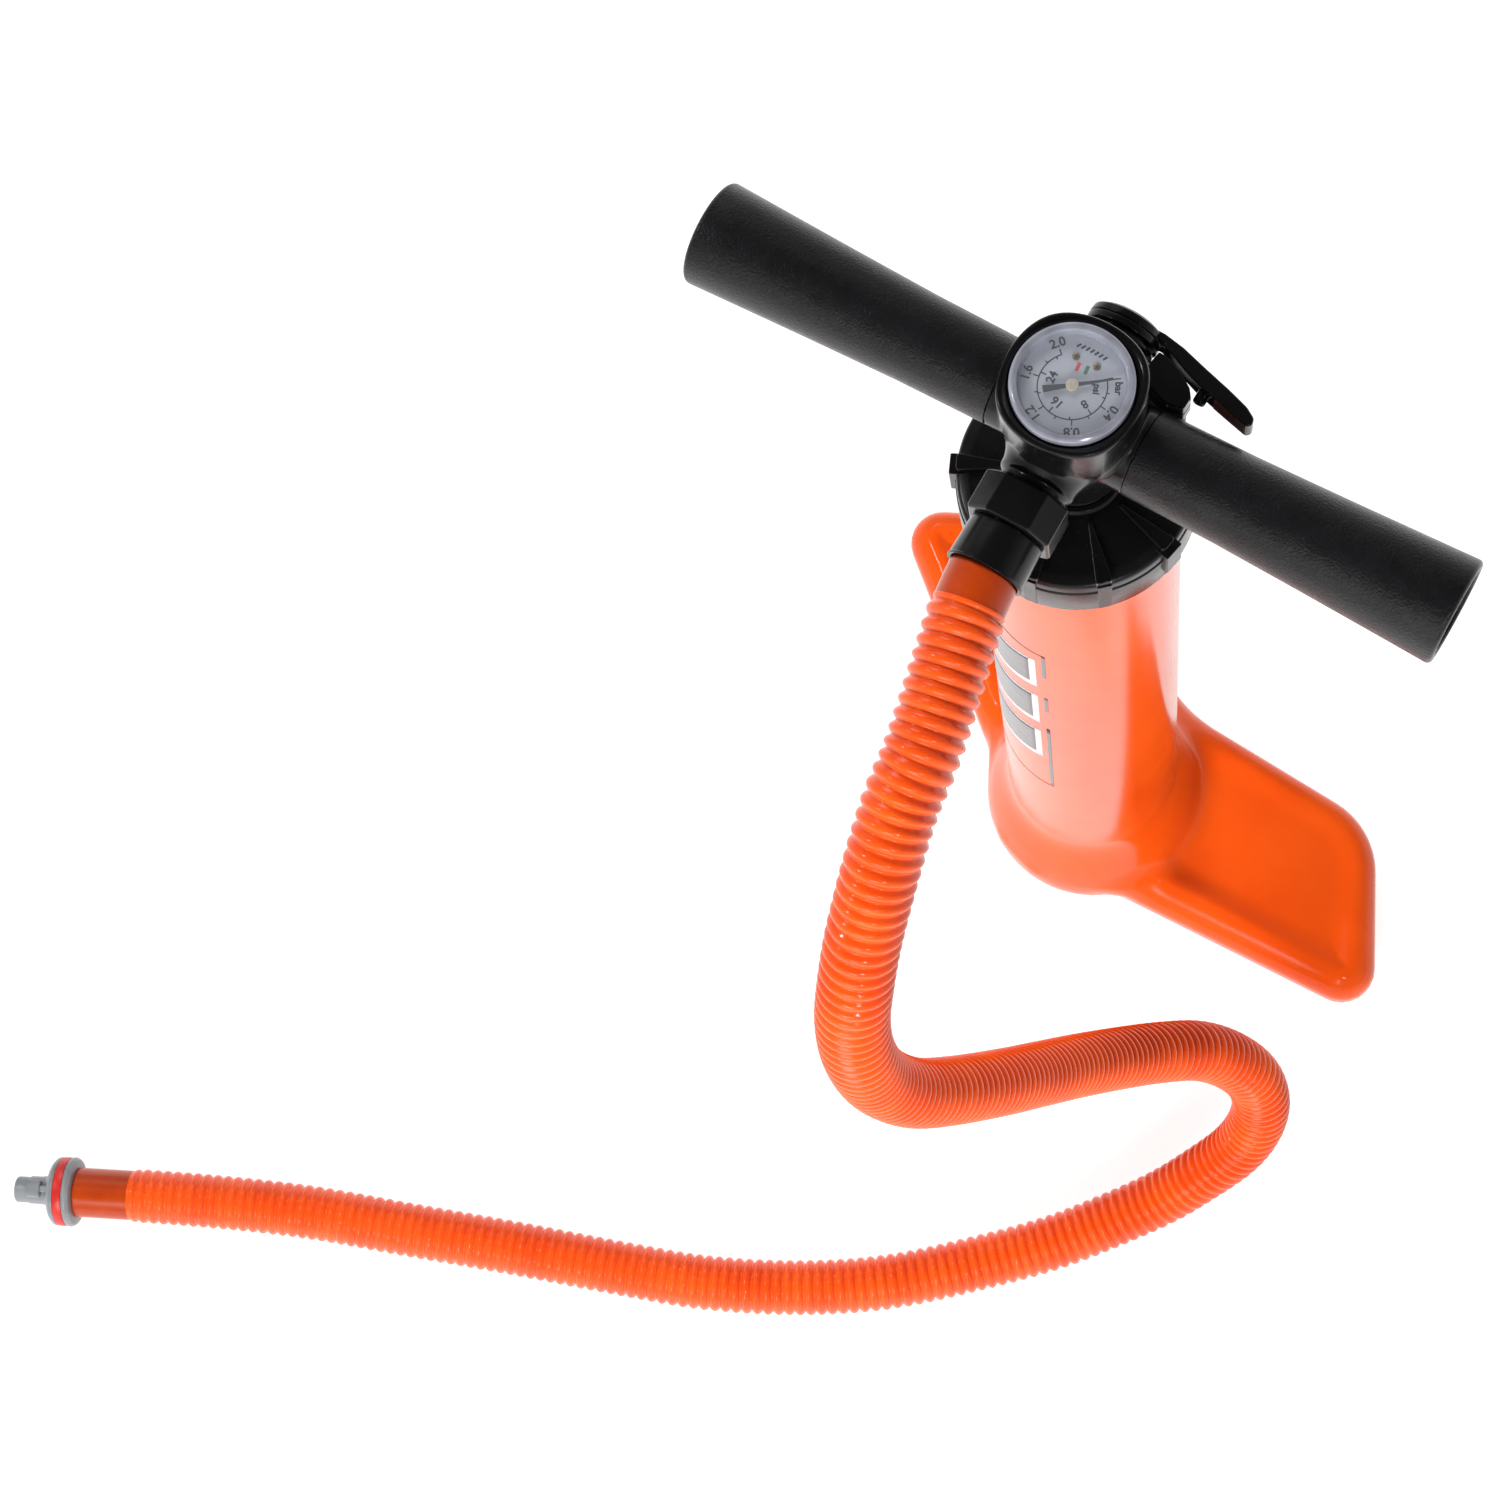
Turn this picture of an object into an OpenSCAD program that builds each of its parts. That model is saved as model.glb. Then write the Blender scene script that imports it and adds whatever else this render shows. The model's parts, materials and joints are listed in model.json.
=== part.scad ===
// Double action hand pump: a foot-held barrel, a T handle with a pressure gauge, and a free hose.
// Millimetres, +Z up. The origin is on the barrel's axis, on the floor. The foot wings lie left and right of the YZ plane.

/* [Barrel] */
// Height of the screw cap's top face above the floor
cap_top = 544; // [500:1:560]
// Outer radius of the barrel where it enters the cap
barrel_top_r = 36.4; // [36:0.1:37]
// Outer radius of the barrel above its foot flare
barrel_foot_r = 40; // [39:0.1:42]
// Inner radius of the straight cylinder tube that the piston runs in
tube_in_r = 31; // [30:0.1:31]
// Outer radius of the screw cap's top
cap_r = 42; // [41:0.1:44]

/* [Foot] */
// Radius of the round foot under the barrel
foot_r = 52.5; // [50:0.5:56]
// Height of the foot wings
wing_h = 34; // [30:1:38]
// Wall thickness of the blow-moulded shell
shell_wall = 3; // [2.5:0.1:3.5]

/* [Handle] */
// Height of the handle's axis above the floor, with the handle fully down
axis_z = 602; // [600:1:608]
// Turn of the handle about the barrel's axis as it stands
handle_yaw = 19; // [-30:0.5:30]
// Length of the handle from end to end
handle_len = 281; // [260:1:300]
// Radius of a grip at its outer end
grip_end_r = 18.8; // [18:0.1:20]
// Radius of a grip beside the handle body
grip_in_r = 15.4; // [15:0.1:16]
// How far the handle lifts
stroke = 460; // [300:1:460]

/* [Gauge] */
// Radius of the gauge lens
lens_r = 20.6; // [20:0.1:21]

/* [Hose] */
// Radius of the hose over its ribs
hose_r = 13.35; // [13:0.05:13.5]
// Radius of the hose's smooth end cuffs
cuff_r = 12.3; // [12:0.1:12.5]
// Inner radius of the hose
hose_in_r = 10; // [9:0.1:10.5]

/* [Hidden] */
$fn = 96;

tiny = 0.05;            // radial gap of a running fit
bore_r = 33.3;          // hollow of the barrel shell
tube_out_r = 33;        // outside of the cylinder tube
neck_top = cap_top - 10.5;
rod_r = 11;             // outer rod tube
rod_foot = 40;          // lower end of the outer rod tube
rod_top = 593;
tube_foot = 12;         // lower end of the cylinder tube
piston_z = 28;          // lower face of the piston with the handle fully down
outlet_len = 61;        // from the handle's axis to the end of the hose sleeve
half_len = handle_len / 2;
lens_top = axis_z + 37;
gauge_floor = lens_top - 17;
dial_top = lens_top - 5;  // face of the dial
arm_len = 62;           // reach of the handle body's stub arms
arm_r = 11;
port_r = 12;            // outside of the outlet and rear ports
port_in_r = 9;
rib_count = 10;         // ribs on the screw cap
rib_start = 7;          // angle of the first rib
lug_ribs = [0, 3, 6];   // ribs that end in a grip lug

// ---- small helpers ----

module in_handle() { translate([0, 0, axis_z]) rotate([0, 0, handle_yaw]) children(); }
// Children drawn along +Z come out along the hose outlet, from the handle's axis
module outlet() { in_handle() rotate([90, 0, 0]) children(); }
module rear() { in_handle() rotate([-90, 0, 0]) children(); }
module side(s) { in_handle() rotate([0, s * 90, 0]) children(); }

module ring(r_out, r_in, h) { rotate_extrude() translate([r_in, 0]) square([r_out - r_in, h]); }
module ring_at(z, r_out, r_in, h) { translate([0, 0, z]) ring(r_out, r_in, h); }

function arc(c, r, a0, a1, steps = 8) =
    [for (i = [0:steps]) let (a = a0 + (a1 - a0) * i / steps) [c[0] + r * cos(a), c[1] + r * sin(a)]];

// ---- barrel shell with its foot wings ----

// Outline of one foot wing on the +X side, drawn in by d: a straight front, a rounded outer end, a straight back
wing_front = 20.9;      // direction of the wing's front edge
wing_end = 136.3;       // direction of its end
wing_back = 195;        // direction of its back edge
nose_c = [146.5, 29.5]; // centre of the outer front corner
nose_r = 16;
heel_c = [95.5, 45];    // centre of the outer back corner
heel_r = 40;
function wing_outline(d) = concat(
    [[0, -43.5 + d * 1.07]],
    arc(nose_c, nose_r - d, wing_front - 90, wing_end - 90),
    arc(heel_c, heel_r - d, wing_end - 90, wing_back - 90),
    [[0, 60 - d * 1.04]]);

module wing_slice(z, d) { translate([0, 0, z]) linear_extrude(0.1) polygon(wing_outline(d)); }
// Both wings as a loft through slices, each [height, how far the outline is drawn in]
module wings(slices) {
    for (m = [0, 1]) mirror([m, 0, 0]) hull() for (s = slices) wing_slice(s[0], s[1]);
}

function barrel_r(z) = barrel_foot_r + (barrel_top_r - barrel_foot_r) * (z - 60) / (neck_top - 60);

// Radius of the foot's domed flare, from t = 0 at its widest ring to t = 1 where it meets the straight barrel
widest_z = 20;
flare_top = 84;
function flare_z(t) = widest_z + t * (flare_top - widest_z);
function flare_r(t) = let (r = barrel_r(max(flare_z(t), 60))) r + (foot_r - r) * (1 - t * t * (3 - 2 * t));

module barrel_shell() {
    color("orangered") difference() {
        union() {
            rotate_extrude() polygon(concat(
                [[0, 0], [foot_r - 9, 0], [foot_r - 4, 3], [foot_r - 1.2, 9]],
                [for (i = [0:10]) [flare_r(i / 10), flare_z(i / 10)]],
                [[barrel_top_r, neck_top], [0, neck_top]]));
            ring_at(cap_top - 20, barrel_top_r + 0.6, barrel_top_r - 1, 2);
            ring_at(cap_top - 15, barrel_top_r + 0.6, barrel_top_r - 1, 2);
            wings([[0, 9], [3, 4.5], [8, 1.4], [14, 0], [20, 0], [26, 2], [31, 7], [wing_h - 0.1, 13]]);
        }
        wings([[wing_h - 3, 24], [wing_h, 17]]);
        wings([[shell_wall, 8], [18, shell_wall], [wing_h - 7, 12]]);
        translate([0, 0, shell_wall]) cylinder(r = bore_r, h = cap_top);
    }
}

module barrel_label() {
    label_z = 182;
    label_h = 245;
    half_turn = 32;
    thick = 0.25;
    r0 = barrel_r(label_z) + 0.02;
    r1 = barrel_r(label_z + label_h) + 0.02;
    color("lightgray") rotate([0, 0, -90 - half_turn]) rotate_extrude(angle = 2 * half_turn)
        polygon([[r0, label_z], [r0 + thick, label_z], [r1 + thick, label_z + label_h], [r1, label_z + label_h]]);
}

// ---- cylinder ----

module cylinder_tube() { color("silver") ring_at(tube_foot, tube_out_r, tube_in_r, neck_top - tube_foot); }

module tube_end_plug() {
    color("dimgray") rotate_extrude() polygon([
        [0, shell_wall], [tube_out_r, shell_wall], [tube_out_r, tube_foot], [tube_in_r - 0.1, tube_foot],
        [tube_in_r - 0.1, 15], [28, 15], [28, 20], [tube_in_r - 0.1, 20], [tube_in_r - 0.1, 24],
        [tube_in_r - 3, 26], [tube_in_r - 5, 26], [tube_in_r - 5, 14], [0, 14]]);
}

module end_plug_seal() { color("black") ring_at(15.2, tube_in_r, 28.1, 4.6); }

module top_cap() {
    skirt_low = cap_top - 28;
    in_r = barrel_top_r + 0.9;
    hole_r = 15;
    color("#1c1c1e") difference() {
        union() {
            rotate_extrude() polygon([
                [hole_r, neck_top + 2], [in_r, neck_top + 2], [in_r, skirt_low], [cap_r + 0.6, skirt_low],
                [cap_r + 0.6, skirt_low + 13], [cap_r, skirt_low + 14], [cap_r, cap_top - 2.5],
                [cap_r - 2, cap_top - 1], [22, cap_top], [hole_r, cap_top]]);
            for (i = [0:rib_count - 1]) rotate([0, 0, rib_start + i * 360 / rib_count]) {
                translate([0, 0, cap_top - 2]) linear_extrude(4)
                    polygon([[20, -0.6], [cap_r, -3.2], [cap_r, 3.2], [20, 0.6]]);
                if (len(search(i, lug_ribs)) > 0) translate([cap_r - 2, -4, skirt_low + 3]) cube([4.6, 8, 24]);
            }
        }
        translate([0, 0, neck_top]) cylinder(r = hole_r, h = 20);
    }
}

module cap_seal() { color("black") ring_at(neck_top, barrel_top_r, tube_in_r + 0.3, 2); }

// ---- guide bush and rod ----

module guide_bush() {
    color("#232326") rotate_extrude() polygon([
        [rod_r + tiny, neck_top - 2], [14.95, neck_top - 2], [14.95, neck_top - 1], [13.6, neck_top - 1],
        [13.6, neck_top + 0.6], [14.95, neck_top + 0.6], [14.95, cap_top + 0.2], [17, cap_top + 0.2],
        [17, cap_top + 3], [16, cap_top + 4], [13.4, cap_top + 4], [13.4, cap_top - 3], [rod_r + tiny, cap_top - 3]]);
}

module bush_clip() { color("silver") ring_at(neck_top - 0.7, 17, 13.7, 1.1); }

module rod_seal() { color("#303030") ring_at(cap_top - 2.8, 13.3, rod_r + tiny, 6.4); }

module rod_outer_tube() {
    color("silver") difference() {
        ring_at(rod_foot, rod_r, 9.4, rod_top - rod_foot);
        for (a = [0, 90]) rotate([0, 90, a]) translate([-74, 0, -20]) cylinder(r = 2.5, h = 40, $fn = 32);
    }
}

module rod_inner_tube() { color("gainsboro") ring_at(piston_z + 2, 5.5, 4.3, rod_top + 5 - piston_z - 2); }

module piston_head() {
    color("dimgray") rotate_extrude() polygon([
        [5.6, piston_z], [29, piston_z], [30.6, piston_z + 1.5], [30.6, 34], [26.5, 34], [26.5, 40], [30.6, 40],
        [30.6, 45], [29.6, 46], [17, 46], [15, 57], [rod_r + tiny, 57], [rod_r + tiny, rod_foot], [5.6, rod_foot]]);
}

module piston_seal() { color("#303030") ring_at(34.2, tube_in_r - tiny, 26.7, 5.6); }
module upper_bump_stop() { color("#202020") ring_at(57.2, 15, rod_r + 0.1, 8); }
module lower_bump_stop() { color("#202020") ring_at(cap_top + 5, 15, rod_r + 0.1, 6.8); }

// ---- handle body and grips ----

module handle_body() {
    foot = cap_top + 12;
    color("#19191b") difference() {
        union() {
            rotate_extrude() polygon([
                [0, foot], [15, foot], [16.5, foot + 2], [20, foot + 24], [23, foot + 38], [24, axis_z + 2],
                [24.4, lens_top - 6], [23.6, lens_top - 2.8], [lens_r + 1.2, lens_top - 2], [0, lens_top - 2]]);
            outlet() cylinder(r = port_r, h = 33);
            rear() cylinder(r = port_r + 0.8, h = 26);
            for (s = [-1, 1]) side(s) cylinder(r = arm_r, h = arm_len);
            for (s = [-1, 1]) side(s) translate([0, 0, 18]) cylinder(r1 = 19, r2 = grip_in_r, h = 7.7);
        }
        translate([0, 0, gauge_floor]) cylinder(r = lens_r + 0.5, h = 40);
        translate([0, 0, foot - 1]) cylinder(r = rod_r + tiny, h = rod_top - foot + 1);
        translate([0, 0, rod_top - 1]) cylinder(r = 8.6, h = axis_z + 8 - rod_top + 1);
        translate([0, 0, axis_z]) cylinder(r = 2.6, h = 30);
        outlet() cylinder(r = 6, h = 60);
        outlet() translate([0, 0, 17]) cylinder(r = 8.5, h = 60);
        rear() cylinder(r = 6, h = 60);
        rear() translate([0, 0, 14]) cylinder(r = port_in_r, h = 60);
        for (s = [-1, 1]) side(s) translate([0, 0, 26]) cylinder(r = 7.5, h = arm_len);
        for (s = [-1, 1]) in_handle() translate([s * 45, 0, -20]) cylinder(r = 1.6, h = 20, $fn = 32);
    }
}

// One grip, a fat tube whose wall grows towards its outer end
module grip(s) {
    color("#1a1a1c") difference() {
        side(s) rotate_extrude() polygon([
            [arm_r + 0.1, 26], [grip_in_r, 26], [grip_in_r + 0.3, 60], [16.9, 95], [18.1, 125],
            [grip_end_r, half_len - 1.5], [grip_end_r - 1, half_len], [14.5, half_len], [14.5, half_len - 4],
            [13, half_len - 5], [13, 70], [arm_r + 0.1, 66]]);
        in_handle() translate([s * 45, 0, -30]) cylinder(r = 2.9, h = 17, $fn = 32);
        in_handle() translate([s * 45, 0, -30]) cylinder(r = 1.7, h = 25, $fn = 32);
    }
}
module grip_left() { grip(-1); }
module grip_right() { grip(1); }

module grip_screws() {
    color("silver") for (s = [-1, 1]) in_handle() translate([s * 45, 0, 0]) {
        translate([0, 0, -15]) cylinder(r = 2.7, h = 2, $fn = 32);
        translate([0, 0, -14]) cylinder(r = 1.55, h = 7, $fn = 32);
    }
}

// ---- gauge ----

module gauge_case() {
    color("#2b2b2d") {
        rotate_extrude() polygon([
            [2.5, gauge_floor + 0.1], [lens_r + 0.2, gauge_floor + 0.1], [lens_r + 0.2, lens_top - 4.2],
            [lens_r - 0.6, lens_top - 4.2], [lens_r - 0.6, gauge_floor + 1.2], [2.5, gauge_floor + 1.2]]);
        ring_at(axis_z + 5, 2.5, 1.1, gauge_floor + 1.2 - axis_z - 5);
    }
}

// Bourdon tube: the bent brass tube whose spring moves the needle
module gauge_tube() {
    color("goldenrod") in_handle() translate([0, 0, gauge_floor + 3.6 - axis_z]) rotate([0, 0, -120])
        rotate_extrude(angle = 240) translate([13.5, 0]) circle(r = 1.3, $fn = 24);
}

module gauge_dial() { color("gainsboro") ring_at(dial_top - 0.6, lens_r - 0.8, 1.5, 0.6); }

module dial_screws() {
    color("goldenrod") in_handle() for (x = [-3.8, 3.8]) translate([x, 9.4, dial_top - axis_z])
        cylinder(r = 1.2, h = 0.5, $fn = 32);
}

module gauge_lens() {
    color([0.8, 0.9, 1, 0.35]) rotate_extrude() polygon([
        [0, lens_top - 1.2], [lens_r - 3.4, lens_top - 1.6], [lens_r - 2.2, lens_top - 3], [lens_r - 2, lens_top - 4],
        [lens_r, lens_top - 4], [lens_r, lens_top - 2.2], [lens_r - 1.2, lens_top - 0.9], [lens_r - 3, lens_top - 0.3],
        [0, lens_top]]);
}

module gauge_needle() {
    tip_len = 16;
    color("#3a3a3c") in_handle() translate([0, 0, dial_top + 0.4 - axis_z]) rotate([0, 0, 36]) {
        translate([0, 0, -5]) cylinder(r = 1.4, h = 5.4, $fn = 32);
        cylinder(r = 2.1, h = 1.4, $fn = 48);
        translate([0, 0, 0.5]) linear_extrude(0.6)
            polygon([[-9.5, -1.5], [-9.5, 1.5], [0, 0.9], [tip_len, 0.15], [tip_len, -0.15], [0, -0.9]]);
    }
}

// ---- hose end at the handle ----

module nut_gasket() { color("firebrick") outlet() ring_at(33, 11.8, 8.6, 1.5); }

module hose_sleeve() {
    color("#151516") outlet() rotate_extrude() polygon([
        [9, 34.5], [12.8, 34.5], [12.8, 38], [11.4, 38], [11.4, 45.4], [13.4, 45.4], [13.9, outlet_len],
        [cuff_r + 0.2, outlet_len], [cuff_r + 0.2, 49], [9, 49]]);
}

module union_nut() {
    color("#1b1b1d") outlet() difference() {
        translate([0, 0, 28.5]) cylinder(r = 16.4, h = 16.5, $fn = 8);
        translate([0, 0, 28]) cylinder(r = port_r + tiny, h = 5.5);
        translate([0, 0, 33]) cylinder(r = 13.2, h = 8);
        translate([0, 0, 40]) cylinder(r = 11.5, h = 8);
    }
}

// ---- free hose ----

// The hose's middle line from the sleeve to the valve connector
route = [
    [19.9, -57.7, 602], [26, -71, 601], [36, -88, 598.5], [49, -111, 593.5], [56, -127, 587.5], [64, -142, 579],
    [71, -155, 567], [77, -166, 554], [83, -176, 537], [88, -184, 516], [94, -189, 490], [100, -189, 455],
    [107, -182, 420], [112, -169, 386], [117, -150, 342], [120, -134, 303], [124, -116, 263], [130, -96, 223],
    [136, -81, 198], [144, -66, 174], [154, -56, 150], [165, -51, 127], [174, -53, 104], [179, -61, 82],
    [180, -73, 63], [177, -90, 47], [172, -111, 33], [163, -137, 23], [152, -165, 17], [136, -197, 14],
    [114, -236, 14], [88, -270, 14], [56, -303, 14], [22, -331, 14], [-20, -364, 14], [-62, -398, 14],
    [-104, -432, 14.5], [-146, -471, 16.5], [-187, -512, 17.6]];
steps_between = 2;
hose_sides = 12;

function spline(p0, p1, p2, p3, t) = 0.5 * (2 * p1 + (p2 - p0) * t + (2 * p0 - 5 * p1 + 4 * p2 - p3) * t * t
    + (3 * p1 - p0 - 3 * p2 + p3) * t * t * t);
last = len(route) - 1;
hose_line = [for (i = [0:last - 1]) for (k = [0:steps_between - 1])
    spline(route[max(i - 1, 0)], route[i], route[i + 1], route[min(i + 2, last)], k / steps_between), route[last]];
rings = len(hose_line);
outlet_dir = [sin(handle_yaw), -cos(handle_yaw), 0];
end_dir = [-21, -21.5, 0] / norm([21, 21.5, 0]);
function unit(v) = v / norm(v);
function heading(i) = i == 0 ? outlet_dir : i == rings - 1 ? end_dir : unit(hose_line[i + 1] - hose_line[i - 1]);
function hose_ring(i, r) = let (t = heading(i), a = unit(cross(t, [0, 0, 1])), b = cross(a, t))
    [for (k = [0:hose_sides - 1]) hose_line[i] + r * (cos(k * 360 / hose_sides) * a + sin(k * 360 / hose_sides) * b)];
// The cuffs at both ends are smooth and a little slimmer
function skin_r(i) = i < 2 || i > rings - 3 ? cuff_r : hose_r;

module hose() {
    n = hose_sides;
    start = [outlet_dir[0] * outlet_len, outlet_dir[1] * outlet_len, axis_z];
    inner = n * rings;
    points = [for (i = [0:rings - 1]) for (p = hose_ring(i, skin_r(i))) i == 0 ? p + start - hose_line[0] : p,
              for (i = [0:rings - 1]) for (p = hose_ring(i, hose_in_r)) i == 0 ? p + start - hose_line[0] : p];
    walls = [for (i = [0:rings - 2]) for (k = [0:n - 1]) let (q = (k + 1) % n)
        each [[i * n + k, (i + 1) * n + k, (i + 1) * n + q], [i * n + k, (i + 1) * n + q, i * n + q],
              [inner + i * n + k, inner + (i + 1) * n + q, inner + (i + 1) * n + k],
              [inner + i * n + k, inner + i * n + q, inner + (i + 1) * n + q]]];
    e = (rings - 1) * n;
    ends = [for (k = [0:n - 1]) let (q = (k + 1) % n)
        each [[k, q, inner + q], [k, inner + q, inner + k],
              [e + k, inner + e + q, e + q], [e + k, inner + e + k, inner + e + q]]];
    color("orangered") polyhedron(points = points, faces = concat(walls, ends), convexity = 10);
}

// ---- valve connector on the far end ----

module at_hose_end() { translate(route[last]) rotate([0, 0, atan2(end_dir[1], end_dir[0])]) rotate([0, 90, 0]) children(); }

module valve_connector() {
    flange_r = 17.3;
    lug_r = 10.4;
    lug_low = 17.5;
    lug_top = lug_low + 7;
    core_r = 7;
    tip_r = 6.5;
    tip_end = 32;
    color("silver") at_hose_end() difference() {
        union() {
            rotate_extrude() polygon([
                [0, 0.05], [14.5, 0.05], [16.6, 1], [flange_r, 2.6], [flange_r, 4.2], [13.5, 4.2], [13.5, 8.8],
                [flange_r - 0.2, 8.8], [16.4, 11], [14, 12.6], [10, 14], [core_r + 1, lug_low], [core_r, lug_low],
                [core_r, lug_top], [tip_r, lug_top], [tip_r, tip_end - 1], [tip_r - 1, tip_end], [0, tip_end]]);
            intersection() {
                translate([-lug_r, -4.4, lug_low - 1]) cube([2 * lug_r, 8.8, lug_top - lug_low + 1]);
                cylinder(r = lug_r, h = tip_end);
            }
        }
        translate([0, 0, -1]) cylinder(r = 4.8, h = 40, $fn = 48);
    }
}

module connector_gasket() { color("firebrick") at_hose_end() ring_at(4.25, 17, 13.55, 4.5); }

// ---- check valves and rear selector ----

module valve_disc(z) {
    translate([0, 0, z]) cylinder(r = 7.6, h = 1.6, $fn = 64);
    translate([0, 0, z - 4]) cylinder(r = 1.6, h = 4.5, $fn = 32);
}
module outlet_disc() { color("#7a1f1a") outlet() valve_disc(17.1); }
module inlet_disc() { color("#7a1f1a") rear() translate([0, 0, 15.3]) cylinder(r = 7.6, h = 1.6, $fn = 64); }

module valve_block() {
    color("#1b1b1d") in_handle() difference() {
        translate([0, 0, -7]) linear_extrude(13)
            polygon([[12, 21], [25, 16.6], [31.2, 18], [31.4, 22.4], [28, 25.4], [22.5, 28.8], [14.4, 28.8]]);
        rotate([-90, 0, 0]) cylinder(r = port_r + 0.82, h = 60);
        translate([26, 0, -3]) rotate([-90, 0, 0]) cylinder(r = 1.5, h = 60, $fn = 32);
        cylinder(r = 24.3, h = 60, center = true);
    }
}

module block_screws() {
    color("silver") in_handle() translate([26, 0, -3]) rotate([-90, 0, 0]) translate([0, 0, 20]) cylinder(r = 1.45, h = 6, $fn = 32);
}

module selector_plug() {
    color("#171718") rear() rotate_extrude() polygon([
        [3, 19], [8.94, 19], [8.94, 21], [7.4, 21], [7.4, 23.2], [8.94, 23.2], [8.94, 26.3], [13, 26.3], [13, 27.8],
        [11, 27.8], [11, 29.2], [12.8, 29.2], [12.8, 30.6], [10.8, 30.6], [10.8, 32], [13.2, 32], [13.4, 33],
        [13.4, 34.6], [6, 34.6], [6, 24], [3, 24]]);
}

module plug_seal() { color("black") rear() ring_at(21.2, port_in_r - tiny, 7.5, 1.8); }

module selector_lever() {
    color("#171718") in_handle() {
        rotate([-90, 0, 0]) translate([0, 0, 34.7]) cylinder(r1 = 13.4, r2 = 12.4, h = 4.3);
        rotate([-90, 0, 0]) translate([0, 0, 28]) cylinder(r = 5.9, h = 8);
        translate([0, 0, -5.5]) linear_extrude(11) polygon(concat(
            [[4, 34.7], [6, 38.8], [13.5, 38.2], [21, 36.8], [31, 33.8], [41, 31], [49, 28.4], [52.8, 26],
             [53.4, 23.6], [52, 22.2], [43.6, 24.2], [36, 26.2]], arc([8, 6], 29, 46, 74, 6), [[14.4, 34.7]]));
        translate([33.6, 23.3, 0]) rotate([-90, 0, 0]) cylinder(r = 2.2, h = 5, $fn = 32);
    }
}

barrel_shell();
barrel_label();
cylinder_tube();
tube_end_plug();
end_plug_seal();
top_cap();
cap_seal();
guide_bush();
bush_clip();
rod_seal();
valve_connector();
connector_gasket();
handle_body();
grip_left();
grip_right();
grip_screws();
rod_outer_tube();
rod_inner_tube();
piston_head();
piston_seal();
upper_bump_stop();
lower_bump_stop();
gauge_case();
gauge_tube();
gauge_dial();
dial_screws();
gauge_lens();
gauge_needle();
hose_sleeve();
nut_gasket();
union_nut();
hose();
outlet_disc();
inlet_disc();
valve_block();
block_screws();
selector_plug();
plug_seal();
selector_lever();
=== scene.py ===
"""Double action hand pump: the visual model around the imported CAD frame.

Lengths in this script are millimetres in the part's own frame (+Z up, origin on the floor under the
barrel's axis) until a mesh is made, which turns them into metres.
"""

import json
import math

import bmesh
import bpy
import numpy as np
import openvdb
from mathutils import Matrix, Vector


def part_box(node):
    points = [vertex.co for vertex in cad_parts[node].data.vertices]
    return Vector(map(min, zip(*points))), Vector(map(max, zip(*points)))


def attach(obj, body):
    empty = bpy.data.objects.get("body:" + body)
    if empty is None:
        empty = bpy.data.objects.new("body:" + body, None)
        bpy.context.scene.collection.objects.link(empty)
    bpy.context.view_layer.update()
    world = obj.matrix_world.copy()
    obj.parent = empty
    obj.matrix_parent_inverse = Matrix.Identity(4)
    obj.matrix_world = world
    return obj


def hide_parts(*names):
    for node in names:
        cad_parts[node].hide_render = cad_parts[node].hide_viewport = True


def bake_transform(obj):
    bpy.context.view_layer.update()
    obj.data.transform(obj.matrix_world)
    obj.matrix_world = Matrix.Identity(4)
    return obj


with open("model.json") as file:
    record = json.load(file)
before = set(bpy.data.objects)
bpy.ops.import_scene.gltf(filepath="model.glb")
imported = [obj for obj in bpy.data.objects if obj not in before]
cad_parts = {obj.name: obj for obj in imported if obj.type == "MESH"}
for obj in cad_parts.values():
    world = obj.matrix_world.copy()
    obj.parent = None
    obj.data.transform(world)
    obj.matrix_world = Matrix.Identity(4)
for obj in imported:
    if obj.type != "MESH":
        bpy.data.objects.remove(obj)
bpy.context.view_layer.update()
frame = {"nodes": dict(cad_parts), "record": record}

MM = 0.001

# ---- driving dimensions, most of them read from the frame ----


def high(node, axis):
    """The upper end of a node's box along an axis."""
    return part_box(node)[1][axis] / MM


NECK_TOP = high("cylinder_tube", 2)         # top of the barrel, inside the cap
CAP_TOP = NECK_TOP + 10.5                   # top face of the screw cap
CAP_R = 42.0
CAP_SKIRT = CAP_TOP - 28                    # lower rim of the screw cap
LENS_TOP = high("gauge_lens", 2)
AXIS_Z = LENS_TOP - 37                      # height of the handle's axis
LENS_R = high("gauge_lens", 0)
DIAL_Z = high("gauge_dial", 2)
CUP_Z = LENS_TOP - 17                       # floor of the gauge's cup
HANDLE_YAW = math.radians(19.0)             # turn of the handle about the barrel's axis
HALF_LEN = 140.5                            # half of the handle's length
BARREL_FOOT_R = 40.0
BARREL_TOP_R = 36.4
TAPER_START = 60.0                          # height where the barrel starts to taper
BORE_R = 33.3
WING_H = 34.0
FOOT_R = 52.5
OUTLET_LEN = 61.0
HOSE_R = 13.35
CUFF_R = 12.3
RIB_PITCH = 5.1
RIB_DEPTH = 2.0
NEAR_CUFF = 11.0                            # length of the smooth cuff at the sleeve
FAR_CUFF = 28.0                             # length of the smooth cuff at the connector
HOSE_SIDES = 40                             # points round the hose

HANDLE = Matrix.Translation((0, 0, AXIS_Z)) @ Matrix.Rotation(HANDLE_YAW, 4, "Z")
OUTLET = HANDLE @ Matrix.Rotation(math.pi / 2, 4, "X")      # +Z runs out along the hose outlet
REAR = HANDLE @ Matrix.Rotation(-math.pi / 2, 4, "X")       # +Z runs out of the rear port


def side(sign):
    """+Z runs out along one arm of the handle."""
    return HANDLE @ Matrix.Rotation(sign * math.pi / 2, 4, "Y")


# ---- camera, at the photograph's angle, in metres ----

FOCAL_LENGTH = 81.6
SENSOR_WIDTH = 36
CAMERA_AT = (0.2785, -0.2271, 1.6784)
CAMERA_RIGHT = Vector((0.65002, 0.75205, -0.10906))
CAMERA_UP = Vector((-0.72130, 0.65577, 0.22292))


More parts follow.
